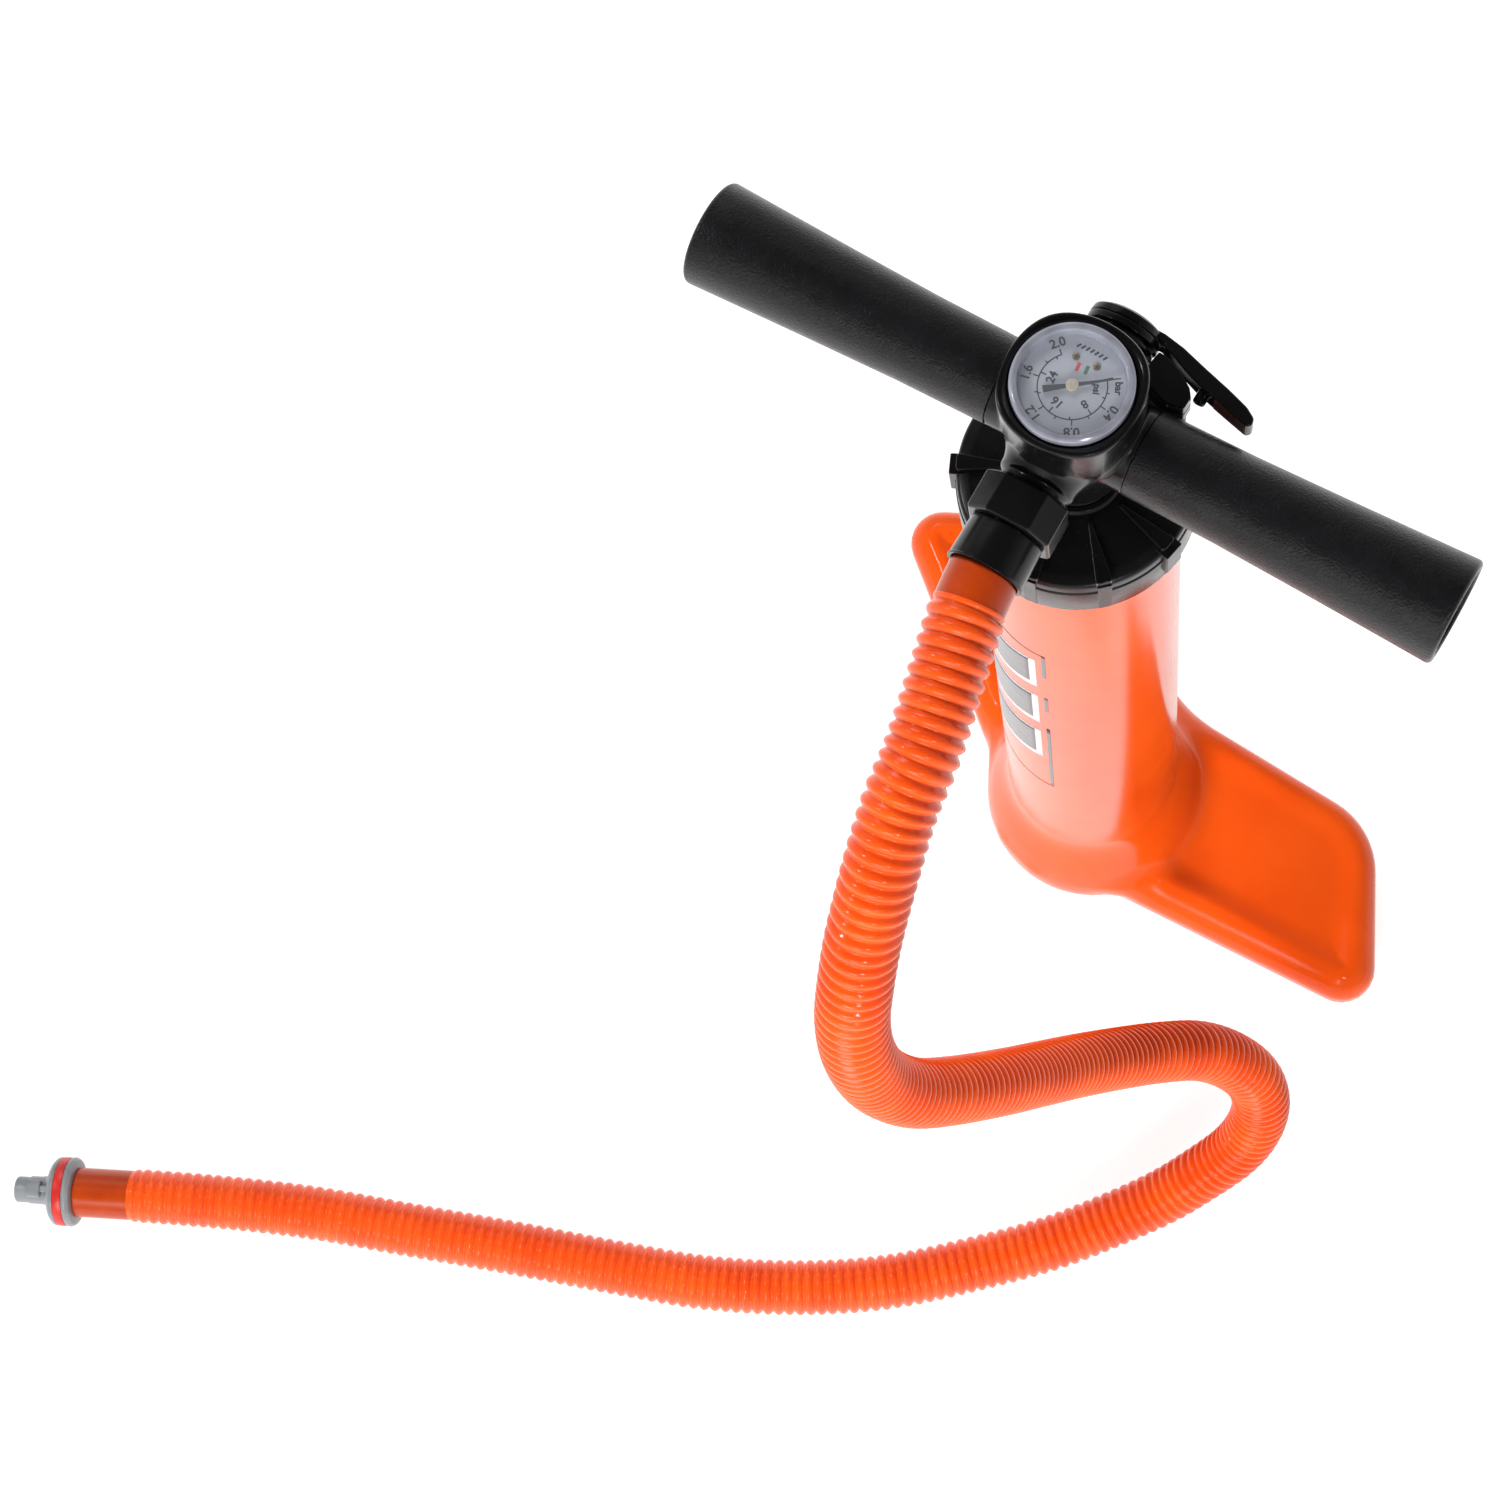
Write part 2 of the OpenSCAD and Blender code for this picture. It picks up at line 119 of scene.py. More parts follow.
def add_camera():
    data = bpy.data.cameras.new("camera")
    data.lens = FOCAL_LENGTH
    data.sensor_width = SENSOR_WIDTH
    data.clip_end = 20
    camera = bpy.data.objects.new("camera", data)
    bpy.context.collection.objects.link(camera)
    back = CAMERA_RIGHT.cross(CAMERA_UP)
    turn = Matrix((CAMERA_RIGHT, CAMERA_UP, back)).transposed().to_4x4()
    camera.matrix_world = Matrix.Translation(CAMERA_AT) @ turn
    bpy.context.scene.camera = camera


add_camera()

# ---- materials ----


def node_maker(material):
    """The material's node tree, and a function that adds a node to it with its settings."""
    tree = material.node_tree

    def add(kind, **settings):
        node = tree.nodes.new(kind)
        for key, value in settings.items():
            setattr(node, key, value)
        return node
    return tree, add


def surface(name, color, roughness, metallic=0.0, tint=None, patch=0.0, patch_size=30.0, rough_spread=0.0,
            grain=0.0, grain_size=0.5, wave=0.0, wave_size=40.0, sub=0.0, specular=0.5, alpha=1.0,
            stretch=(1, 1, 1)):
    """A procedural material in object space. Sizes are the feature's size, and grain and wave are the
    height of the fine texture and of the moulding's slow waviness, all in millimetres."""
    material = bpy.data.materials.new(name)
    material.use_nodes = True
    tree, add = node_maker(material)
    shader = tree.nodes["Principled BSDF"]
    shader.inputs["Metallic"].default_value = metallic
    shader.inputs["Specular IOR Level"].default_value = specular
    shader.inputs["Alpha"].default_value = alpha
    if sub:
        shader.inputs["Subsurface Weight"].default_value = sub
        shader.inputs["Subsurface Radius"].default_value = (1.0, 0.25, 0.1)
        shader.inputs["Subsurface Scale"].default_value = 0.003
    coords = add("ShaderNodeTexCoord")
    mapping = add("ShaderNodeMapping")
    mapping.inputs["Scale"].default_value = stretch
    tree.links.new(coords.outputs["Object"], mapping.inputs["Vector"])

    def noise(size, detail):
        node = add("ShaderNodeTexNoise")
        node.inputs["Scale"].default_value = 1000.0 / size
        node.inputs["Detail"].default_value = detail
        tree.links.new(mapping.outputs["Vector"], node.inputs["Vector"])
        return node.outputs["Fac"]

    cloud = noise(patch_size, 4)
    mix = add("ShaderNodeMix", data_type="RGBA")
    other = tint or tuple(c * (1 - patch) for c in color)
    mix.inputs["A"].default_value = (*color, 1)
    mix.inputs["B"].default_value = (*other, 1)
    ramp = add("ShaderNodeMapRange")
    ramp.inputs["From Min"].default_value = 0.35
    ramp.inputs["From Max"].default_value = 0.65
    tree.links.new(cloud, ramp.inputs["Value"])
    tree.links.new(ramp.outputs["Result"], mix.inputs["Factor"])
    tree.links.new(mix.outputs["Result"], shader.inputs["Base Color"])
    spread = add("ShaderNodeMapRange")
    spread.inputs["To Min"].default_value = max(roughness - rough_spread, 0.02)
    spread.inputs["To Max"].default_value = roughness + rough_spread
    tree.links.new(noise(patch_size * 0.37, 3), spread.inputs["Value"])
    tree.links.new(spread.outputs["Result"], shader.inputs["Roughness"])
    normal = None
    for height, size, detail in ((wave, wave_size, 1), (grain, grain_size, 2)):
        if not height:
            continue
        bump = add("ShaderNodeBump")
        bump.inputs["Strength"].default_value = 1.0
        bump.inputs["Distance"].default_value = height * MM
        tree.links.new(noise(size, detail), bump.inputs["Height"])
        if normal:
            tree.links.new(normal, bump.inputs["Normal"])
        normal = bump.outputs["Normal"]
    if normal:
        tree.links.new(normal, shader.inputs["Normal"])
    return material


MATERIALS = {
    "shell_orange": surface("shell_orange", (0.85, 0.101, 0.007), 0.15, tint=(0.78, 0.080, 0.005),
                            patch_size=60, rough_spread=0.03, wave=0.10, wave_size=45, grain=0.003,
                            grain_size=1.2, sub=0.12, specular=0.22),
    "hose_orange": surface("hose_orange", (0.87, 0.098, 0.008), 0.17, tint=(0.79, 0.070, 0.005),
                           patch_size=25, rough_spread=0.05, grain=0.01, grain_size=1.5, sub=0.10,
                           specular=0.5),
    "label": surface("label", (0.09, 0.09, 0.10), 0.22, patch=0.25, patch_size=12, rough_spread=0.05,
                     grain=0.004),
    "cap_black": surface("cap_black", (0.0045, 0.0045, 0.005), 0.26, patch=0.3, patch_size=18,
                         rough_spread=0.07, grain=0.008, grain_size=0.8, wave=0.05, wave_size=14,
                         specular=0.4),
    "body_black": surface("body_black", (0.0045, 0.0045, 0.005), 0.21, patch=0.3, patch_size=15,
                          rough_spread=0.06, grain=0.005, grain_size=0.9, wave=0.05, wave_size=12,
                          specular=0.34),
    "grip_black": surface("grip_black", (0.006, 0.006, 0.007), 0.30, patch=0.35, patch_size=9,
                          rough_spread=0.08, grain=0.24, grain_size=0.8, specular=0.43),
    "inner_grey": surface("inner_grey", (0.18, 0.18, 0.19), 0.45, patch=0.2, rough_spread=0.06, grain=0.01),
    "tube_alu": surface("tube_alu", (0.62, 0.62, 0.64), 0.28, metallic=1.0, patch=0.12, patch_size=8,
                        rough_spread=0.07, grain=0.012, grain_size=0.4, stretch=(1, 1, 0.05)),
    "rubber": surface("rubber", (0.014, 0.014, 0.015), 0.55, patch=0.3, patch_size=6, rough_spread=0.08,
                      grain=0.015),
    "rubber_red": surface("rubber_red", (0.62, 0.022, 0.016), 0.38, patch=0.25, patch_size=6,
                          rough_spread=0.06, grain=0.01, sub=0.1),
    "connector_grey": surface("connector_grey", (0.23, 0.24, 0.255), 0.30, patch=0.15, patch_size=7,
                              rough_spread=0.06, grain=0.008, sub=0.15),
    "brass": surface("brass", (0.62, 0.46, 0.24), 0.24, metallic=1.0, patch=0.2, patch_size=1.5,
                     rough_spread=0.08, grain=0.01, grain_size=0.2),
    "steel": surface("steel", (0.56, 0.56, 0.57), 0.3, metallic=1.0, patch=0.15, patch_size=2,
                     rough_spread=0.08, grain=0.006, grain_size=0.2),
    "dial_white": surface("dial_white", (0.43, 0.45, 0.51), 0.40, metallic=0.35, patch=0.08, patch_size=5,
                          rough_spread=0.05, grain=0.004, grain_size=0.15),
    "lens_clear": surface("lens_clear", (0.86, 0.90, 1.0), 0.05, patch=0.04, patch_size=8, rough_spread=0.02,
                          alpha=0.04, specular=0.8),
    "needle_black": surface("needle_black", (0.022, 0.022, 0.025), 0.4, patch=0.25, patch_size=2,
                            rough_spread=0.06, grain=0.004, grain_size=0.2),
}
FINISHES = {
    "print_black": surface("print_black", (0.008, 0.008, 0.011), 0.6, patch=0.3, patch_size=0.7,
                           rough_spread=0.05),
    "label_pale": surface("label_pale", (0.74, 0.72, 0.74), 0.22, patch=0.1, patch_size=14, rough_spread=0.05,
                          grain=0.004),
    # the lens rim is clear plastic; its silver-lilac colour here is a painted reflection of light in the
    # clear edges
    "rim_painted_reflection": surface("rim_painted_reflection", (0.40, 0.41, 0.48), 0.14, metallic=0.45, patch=0.25, patch_size=9,
                          rough_spread=0.04),
    "hub_cream": surface("hub_cream", (0.66, 0.56, 0.44), 0.28, metallic=0.5, patch=0.15, patch_size=0.6,
                         rough_spread=0.06),
    "lever_red": surface("lever_red", (0.075, 0.014, 0.010), 0.34, tint=(0.035, 0.008, 0.007), patch_size=9,
                         rough_spread=0.08, grain=0.008),
    "cuff_orange": surface("cuff_orange", (0.43, 0.045, 0.004), 0.22, tint=(0.37, 0.036, 0.003),
                           patch_size=12, rough_spread=0.05, grain=0.006, grain_size=1.2, sub=0.08,
                           specular=0.4),
    "mark_red": surface("mark_red", (0.48, 0.035, 0.035), 0.5, patch=0.2, patch_size=0.6, rough_spread=0.05),
    "mark_green": surface("mark_green", (0.035, 0.13, 0.055), 0.5, patch=0.2, patch_size=0.6,
                          rough_spread=0.05),
}

# ---- mesh builders: points in millimetres ----


def build(name, points, faces, place=None, sharp=38, normals=None):
    """A smooth-shaded mesh object from points in millimetres, placed by a matrix in millimetres."""
    mesh = bpy.data.meshes.new(name)
    if place is not None:
        points = [place @ Vector(p) for p in points]
    mesh.from_pydata([(p[0] * MM, p[1] * MM, p[2] * MM) for p in points], [], faces)
    mesh.validate()
    mesh.shade_smooth()
    if normals is not None:
        mesh.normals_split_custom_set_from_vertices([tuple(n) for n in normals])
    elif sharp:
        mesh.set_sharp_from_angle(angle=math.radians(sharp))
    obj = bpy.data.objects.new(name, mesh)
    bpy.context.collection.objects.link(obj)
    return obj


def fillet(corners, closed=True, steps=4):
    """Rounds the corners of a 2D outline. A corner is (x, y) or (x, y, radius)."""
    out = []
    count = len(corners)
    for i, corner in enumerate(corners):
        p = Vector(corner[:2])
        radius = corner[2] if len(corner) > 2 else 0
        if not radius or (not closed and i in (0, count - 1)):
            out.append(tuple(p))
            continue
        a = (Vector(corners[i - 1][:2]) - p)
        b = (Vector(corners[(i + 1) % count][:2]) - p)
        u = a.normalized()
        v = b.normalized()
        half = u.angle(v) / 2
        cut = min(radius / math.tan(half), 0.49 * a.length, 0.49 * b.length)
        radius = cut * math.tan(half)
        centre = p + (u + v).normalized() * (radius / math.sin(half))
        start = p + u * cut - centre
        end = p + v * cut - centre
        swing = start.angle_signed(end)
        for k in range(steps + 1):
            turn = -swing * k / steps
            c, s = math.cos(turn), math.sin(turn)
            out.append((centre.x + c * start.x - s * start.y, centre.y + s * start.x + c * start.y))
    return out


def lathe(name, corners, place=None, segments=96, closed=True, sweep=2 * math.pi, start=0.0, steps=4):
    """Turns an outline of (radius, height[, fillet]) about Z. An open outline starts and ends on the axis."""
    outline = fillet(corners, closed, steps)
    full = abs(sweep - 2 * math.pi) < 1e-6
    columns = segments if full else segments + 1
    points = []
    ring_of = []
    for r, z in outline:
        if r < 1e-6:
            ring_of.append([len(points)] * columns)
            points.append((0, 0, z))
            continue
        ring_of.append([len(points) + k for k in range(columns)])
        for k in range(columns):
            a = start + sweep * k / segments
            points.append((r * math.cos(a), r * math.sin(a), z))
    faces = []
    last = len(outline) if closed else len(outline) - 1
    for i in range(last):
        one = ring_of[i]
        two = ring_of[(i + 1) % len(outline)]
        for k in range(columns if full else segments):
            j = (k + 1) % columns
            face = [one[k], one[j], two[j], two[k]]
            face = list(dict.fromkeys(face))
            if len(face) > 2:
                faces.append(face)
    if not full:
        faces.append([ring[0] for ring in ring_of])
        faces.append([ring[segments] for ring in ring_of][::-1])
    obj = build(name, points, faces, place)
    fix_normals(obj)
    return obj


def fix_normals(obj):
    """Turns all the faces of a closed mesh outward."""
    mesh = bmesh.new()
    mesh.from_mesh(obj.data)
    bmesh.ops.recalc_face_normals(mesh, faces=mesh.faces)
    mesh.to_mesh(obj.data)
    mesh.free()


def bevel(obj, width, segments=3, angle=30):
    """Rounds the sharp edges by width, in millimetres, and applies it."""
    modifier = obj.modifiers.new("bevel", "BEVEL")
    modifier.width = width * MM
    modifier.segments = segments
    modifier.limit_method = "ANGLE"
    modifier.angle_limit = math.radians(angle)
    modifier.harden_normals = True
    apply_modifiers(obj)
    return obj


def apply_modifiers(obj):
    graph = bpy.context.evaluated_depsgraph_get()
    mesh = bpy.data.meshes.new_from_object(obj.evaluated_get(graph))
    old = obj.data
    obj.modifiers.clear()
    obj.data = mesh
    bpy.data.meshes.remove(old)


def loft(name, rings, place=None, sharp=38):
    """A closed solid through rings of points that have the same count."""
    count = len(rings[0])
    points = [p for ring in rings for p in ring]
    faces = []
    for i in range(len(rings) - 1):
        for k in range(count):
            j = (k + 1) % count
            faces.append([i * count + k, i * count + j, (i + 1) * count + j, (i + 1) * count + k])
    faces.append(list(range(count))[::-1])
    faces.append([(len(rings) - 1) * count + k for k in range(count)])
    obj = build(name, points, faces, place, sharp)
    fix_normals(obj)
    return obj


def slab(name, outline, z0, z1, place=None, edge=0.6, segments=3):
    """An extruded outline with rounded edges."""
    obj = loft(name, [[(x, y, z0) for x, y in outline], [(x, y, z1) for x, y in outline]], place)
    return bevel(obj, edge, segments)


def join(name, objects):
    """One object from several, which keep their own materials."""
    bpy.ops.object.select_all(action="DESELECT")
    for obj in objects:
        obj.select_set(True)
    bpy.context.view_layer.objects.active = objects[0]
    bpy.ops.object.join()
    objects[0].name = name
    objects[0].data.name = name
    return objects[0]


def paint(obj, material):
    """Gives an object one material only."""
    obj.data.materials.clear()
    obj.data.materials.append(material)
    return obj


def finish_piece(obj, body, slot, replaced=(), material=None):
    """Sets a piece's material, its body and the nodes that it stands for."""
    if material is not None or not obj.data.materials:
        paint(obj, material or MATERIALS[slot])
    if replaced:
        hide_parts(*replaced)
    if body:
        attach(obj, body)
    return obj


# ---- smooth solids from a field that is negative inside ----


def soft_min(a, b, k):
    """Union of two fields, blended over the width k."""
    h = np.clip(0.5 + 0.5 * (b - a) / k, 0, 1)
    return b + (a - b) * h - k * h * (1 - h)


def soft_max(a, b, k):
    """Intersection of two fields, blended over the width k."""
    return -soft_min(-a, -b, k)


def round_slab(flat, height, radius):
    """Field of an outline's flat distance and a distance from mid height, with edges of that radius."""
    u = flat + radius
    v = height + radius
    return np.minimum(np.maximum(u, v), 0) + np.sqrt(np.maximum(u, 0) ** 2 + np.maximum(v, 0) ** 2) - radius


def solid(name, field, corner_low, corner_high, step, place=None):
    """Meshes the field's zero surface, then moves each point onto it and takes its normal from the field."""
    axes = [np.arange(a, b + step, step, dtype=float) for a, b in zip(corner_low, corner_high)]
    shape = tuple(len(a) for a in axes)
    values = field(axes[0][:, None, None], axes[1][None, :, None], axes[2][None, None, :])
    grid = openvdb.FloatGrid(background=float(step * 3))
    grid.copyFromArray(np.broadcast_to(values, shape).astype(np.float32))
    points, quads = grid.convertToQuads(isovalue=0.0)
    points = np.asarray(points, float) * step + np.array([a[0] for a in axes])

    def slope(p):
        e = 0.05
        columns = []
        for axis in range(3):
            d = np.zeros(3)
            d[axis] = e
            columns.append((field(*(p + d).T) - field(*(p - d).T)) / (2 * e))
        return np.stack(columns, 1)

    for _ in range(4):
        g = slope(points)
        size = np.maximum((g ** 2).sum(1), 0.05)
        move = g * (field(*points.T) / size)[:, None]
        length = np.linalg.norm(move, axis=1)
        move *= np.minimum(1, 0.6 * step / np.maximum(length, 1e-9))[:, None]
        points -= move
    normals = slope(points)
    normals /= np.maximum(np.linalg.norm(normals, axis=1), 1e-9)[:, None]
    quads = np.asarray(quads)
    a, b, c = (points[quads[:, i]] for i in (0, 1, 2))
    facing = (np.cross(b - a, c - a) * normals[quads[:, 0]]).sum(1)
    if np.median(facing) < 0:
        quads = quads[:, ::-1]
    if place is not None:
        turn = np.array(place.to_3x3())
        points = points @ turn.T + np.array(place.translation)
        normals = normals @ turn.T
    return build(name, points, quads.tolist(), None, None, normals)


# ---- the free hose ----

ROUTE = [
    (19.9, -57.7, 602), (26, -71, 601), (36, -88, 598.5), (49, -111, 593.5), (56, -127, 587.5),
    (64, -142, 579), (71, -155, 567), (77, -166, 554), (83, -176, 537), (88, -184, 516), (94, -189, 490),
    (100, -189, 455), (107, -182, 420), (112, -169, 386), (117, -150, 342), (120, -134, 303),
    (124, -116, 263), (130, -96, 223), (136, -81, 198), (144, -66, 174), (154, -56, 150), (165, -51, 127),
    (174, -53, 104), (179, -61, 82), (180, -73, 63), (177, -90, 47), (172, -111, 33), (163, -137, 23),
    (152, -165, 17), (136, -197, 14), (114, -236, 14), (88, -270, 14), (56, -303, 14), (22, -331, 14),
    (-20, -364, 14), (-62, -398, 14), (-104, -432, 14.5), (-146, -471, 16.5), (-187, -512, 17.6)]
END_RUN = (-21, -21.5, 0)       # the way the hose points where it enters the connector
END_DIRECTION = Vector(END_RUN).normalized()
HOSE_END = (Matrix.Translation(ROUTE[-1]) @ Matrix.Rotation(math.atan2(END_RUN[1], END_RUN[0]), 4, "Z")
            @ Matrix.Rotation(math.pi / 2, 4, "Y"))


def smooth_line(route, steps):
    """The same smooth curve through the route's points that the CAD hose follows."""
    p = np.array(route, float)
    last = len(p) - 1
    line = []
    for i in range(last):
        a, b, c, d = p[max(i - 1, 0)], p[i], p[i + 1], p[min(i + 2, last)]
        for t in np.arange(steps) / steps:
            line.append(0.5 * (2 * b + (c - a) * t + (2 * a - 5 * b + 4 * c - d) * t * t
                               + (3 * b - a - 3 * c + d) * t ** 3))
    line.append(p[last])
    line = np.array(line)
    for _ in range(3):                       # evens out the curve between neighbouring points
        line[1:-1] = 0.25 * line[:-2] + 0.5 * line[1:-1] + 0.25 * line[2:]
    return line


def resample(line, spacing):
    """Evenly spaced points along a line, and each one's length along it."""
    far = np.concatenate([[0], np.cumsum(np.linalg.norm(np.diff(line, axis=0), axis=1))])
    count = int(round(far[-1] / spacing))
    at = np.linspace(0, far[-1], count + 1)
    return np.stack([np.interp(at, far, line[:, k]) for k in range(3)], 1), at


def hose_radius(s, total):
    """Outer radius at a length s along the hose: smooth cuffs, and rounded ribs with narrow grooves."""
    fade = 2.5                  # length over which the ribs rise out of a cuff
    fullness = 0.85             # under 1 makes the crests broad and the grooves narrow
    into = np.clip((np.minimum(s - NEAR_CUFF, total - FAR_CUFF - s)) / fade, 0, 1)
    rib = np.abs(np.cos(math.pi * (s - NEAR_CUFF) / RIB_PITCH)) ** fullness
    ribs = HOSE_R - RIB_DEPTH * (1 - rib)
    return CUFF_R + (ribs - CUFF_R) * into


def sweep_tube(name, line, radii, start, end):
    """A closed tube along a line, with frames carried along it without twist."""
    tangents = np.gradient(line, axis=0)
    tangents[0] = start
    tangents[-1] = end
    tangents /= np.linalg.norm(tangents, axis=1)[:, None]
    across = np.cross(tangents[0], [0, 0, 1])
    angles = np.arange(HOSE_SIDES) * 2 * math.pi / HOSE_SIDES
    rings = []
    for point, tangent, radius in zip(line, tangents, radii):
        across = across - tangent * np.dot(across, tangent)
        across /= np.linalg.norm(across)
        upward = np.cross(tangent, across)
        rings.append(point + radius * (np.cos(angles)[:, None] * across + np.sin(angles)[:, None] * upward))
    return loft(name, [[tuple(p) for p in ring] for ring in rings], None, None)


def make_hose():
    """The ribbed hose: its cuffs have their own finish, and it runs between the connector on the bush and the
    handle, attached to neither.
    """
    line, at = resample(smooth_line(ROUTE, 12), RIB_PITCH / 8)
    radii = hose_radius(at, at[-1])
    outlet = np.array([math.sin(HANDLE_YAW), -math.cos(HANDLE_YAW), 0])
    hose = sweep_tube("hose_ribbed", line, radii, outlet, np.array(END_DIRECTION))
    paint(hose, MATERIALS["hose_orange"])
    hose.data.materials.append(FINISHES["cuff_orange"])
    for index, face in enumerate(hose.data.polygons):
        s = at[min(index // HOSE_SIDES, len(at) - 1)]
        face.material_index = 1 if s < NEAR_CUFF or s > at[-1] - FAR_CUFF else 0
    finish_piece(hose, None, "hose_orange", ["hose"])
    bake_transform(hose)
    return hose, line, at[-1]


def make_connector():
    """The bayonet valve connector: a fat milky flange, a neck, two lugs and the tip."""
    core = lathe("core", [
        (4.8, 0.2), (13.6, 0.2, 1.2), (16.2, 0.6, 1.4), (17.3, 2.4, 1.4), (17.0, 4.2, 0.4), (13.6, 4.2),
        (13.6, 8.8), (17.0, 8.8, 0.4), (16.9, 10.6, 1.6), (14.6, 12.6, 1.8), (9.6, 13.6, 1.6),
        (7.4, 16.0, 1.0), (7.0, 18.4, 1), (6.9, 24.5, 0.6), (6.5, 25.0, 0.3), (6.5, 31.6, 1.2), (4.8, 32)],
        HOSE_END, 72)
    lug = []
    for sign in (-1, 1):
        arc = [(sign * 10.35 * math.cos(a), 10.35 * math.sin(a)) for a in np.linspace(-0.42, 0.42, 9)]
        base = [(sign * 5.5, 4.2), (sign * 5.5, -4.2)]
        lug.append(slab("lug", arc + base, 17.4, 24.4, HOSE_END, 0.9))
        web = [(sign * 5.5, -1.6), (sign * 9.3, -1.6), (sign * 9.3, 1.6), (sign * 5.5, 1.6)]
        lug.append(slab("web", web, 13.0, 18.0, HOSE_END, 0.5))
    connector = join("connector_body", [core] + lug)
    finish_piece(connector, "bush", "connector_grey", ["valve_connector"])
    band = lathe("connector_band", [(13.7, 4.3), (17.0, 4.3, 0.3), (17.15, 6.5, 6), (17.0, 8.7, 0.3),
                                    (13.7, 8.7)], HOSE_END, 72)
    finish_piece(band, "bush", "rubber_red", ["connector_gasket"])
    return connector, band


hose, hose_line, hose_length = make_hose()
connector, connector_band = make_connector()

# ---- barrel shell with its foot wings ----


def arc_points(centre, radius, first, last):
    """Points along an arc from the first to the last angle, in degrees."""
    steps = 8
    angles = np.radians(np.linspace(first, last, steps + 1))
    return [(centre[0] + radius * math.cos(a), centre[1] + radius * math.sin(a)) for a in angles]


WING_FRONT = 20.9 - 90      # way that the wing's front edge faces, in degrees
WING_END = 136.3 - 90       # way that its outer end faces
WING_REAR = 195 - 90        # way that its rear edge faces
WING = ([(-10, -47.3)] + arc_points((146.5, 29.5), 16, WING_FRONT, WING_END)
        + arc_points((95.5, 45), 40, WING_END, WING_REAR) + [(-10, 57.3)])


def outline_distance(x, y, outline):
    """Distance from an outline in the plane, negative inside."""
    x, y = np.broadcast_arrays(x, y)
    best = np.full(x.shape, 1e9)
    inside = np.zeros(x.shape, bool)
    for (ax, ay), (bx, by) in zip(outline, outline[1:] + outline[:1]):
        ex, ey = bx - ax, by - ay
        t = np.clip(((x - ax) * ex + (y - ay) * ey) / (ex * ex + ey * ey), 0, 1)
        best = np.minimum(best, (x - ax - t * ex) ** 2 + (y - ay - t * ey) ** 2)
        if ay != by:
            crosses = (ay > y) != (by > y)
            inside ^= crosses & (x < ex * (y - ay) / ey + ax)
    return np.where(inside, -1, 1) * np.sqrt(best)


def barrel_radius(z):
    """Outer radius of the tapered barrel at a height."""
    rise = np.clip((z - TAPER_START) / (NECK_TOP - TAPER_START), 0, 1)
    return BARREL_FOOT_R + (BARREL_TOP_R - BARREL_FOOT_R) * rise


def shell_field(x, y, z):
    """The moulded shell: a tapered barrel that flares into a domed foot, and two wings with dished tops."""
    round_edge = 15.0
    dish_inset = 21.0 - 7.0 * np.clip(y / 60, 0, 1)
    dish_depth = 3.2
    dish_blend = 9
    floor_gap = 3           # thickness of the floor under the bore
    widest = 20.0           # height of the foot's widest ring
    flare_top = 84.0        # height where the flare ends in the straight barrel
    flat = [outline_distance(sign * x, y, WING) for sign in (1, -1)]
    rho = np.sqrt(x * x + y * y)
    wings = soft_min(flat[0], flat[1], 10)
    plate = round_slab(wings, np.abs(z - WING_H / 2) - WING_H / 2, round_edge)
    dish = soft_max(np.minimum(flat[0], flat[1]) + dish_inset, (WING_H - dish_depth) - z, dish_blend)
    plate = soft_max(plate, -dish, dish_blend)
    cone = barrel_radius(z)
    t = np.clip((z - widest) / (flare_top - widest), 0, 1)
    under = np.clip((widest - z) / widest, 0, 1)
    radius = cone + (FOOT_R - cone) * (1 - t * t * (3 - 2 * t)) - 11 * (1 - np.sqrt(1 - 0.96 * under ** 2))
    body = 0.85 * (rho - radius)
    body = soft_min(body, plate, 4 + 8 * np.clip((z - 16) / 14, 0, 1))
    body = soft_max(body, -z, 3)
    body = soft_max(body, z - NECK_TOP, 1)
    return np.maximum(body, -np.maximum(rho - BORE_R, floor_gap - z))


def make_shell():
    shell = solid("shell_moulding", shell_field, (-170, -60, -4), (170, 92, NECK_TOP + 4), 2.5)
    finish_piece(shell, "barrel", "shell_orange", ["barrel_shell"])


LABEL_TURN = -90.0          # way that the label's middle faces, in degrees


def label_patch(corners, lift, material):
    """A printed shape on the barrel. Its four corners are (millimetres round the barrel, height)."""
    columns, rows = 14, 14
    a, b, c, d = (np.array(p, float) for p in corners)
    points = []
    for i in range(rows + 1):
        for j in range(columns + 1):
            u, v = j / columns, i / rows
            p = (1 - v) * ((1 - u) * a + u * b) + v * ((1 - u) * d + u * c)
            r = barrel_radius(p[1]) + lift
            angle = math.radians(LABEL_TURN) + p[0] / barrel_radius(p[1])
            points.append((r * math.cos(angle), r * math.sin(angle), p[1]))
    width = columns + 1
    faces = [[i * width + j, i * width + j + 1, (i + 1) * width + j + 1, (i + 1) * width + j]
             for i in range(rows) for j in range(columns)]
    patch = build("patch", points, faces)
    paint(patch, material)
    return patch


def bar(x0, z0, x1, z1, slant=0.0):
    """The four corners of a bar, whose right end is higher by the slant."""
    return [(x0, z0), (x1, z0 + slant), (x1, z1 + slant), (x0, z1)]


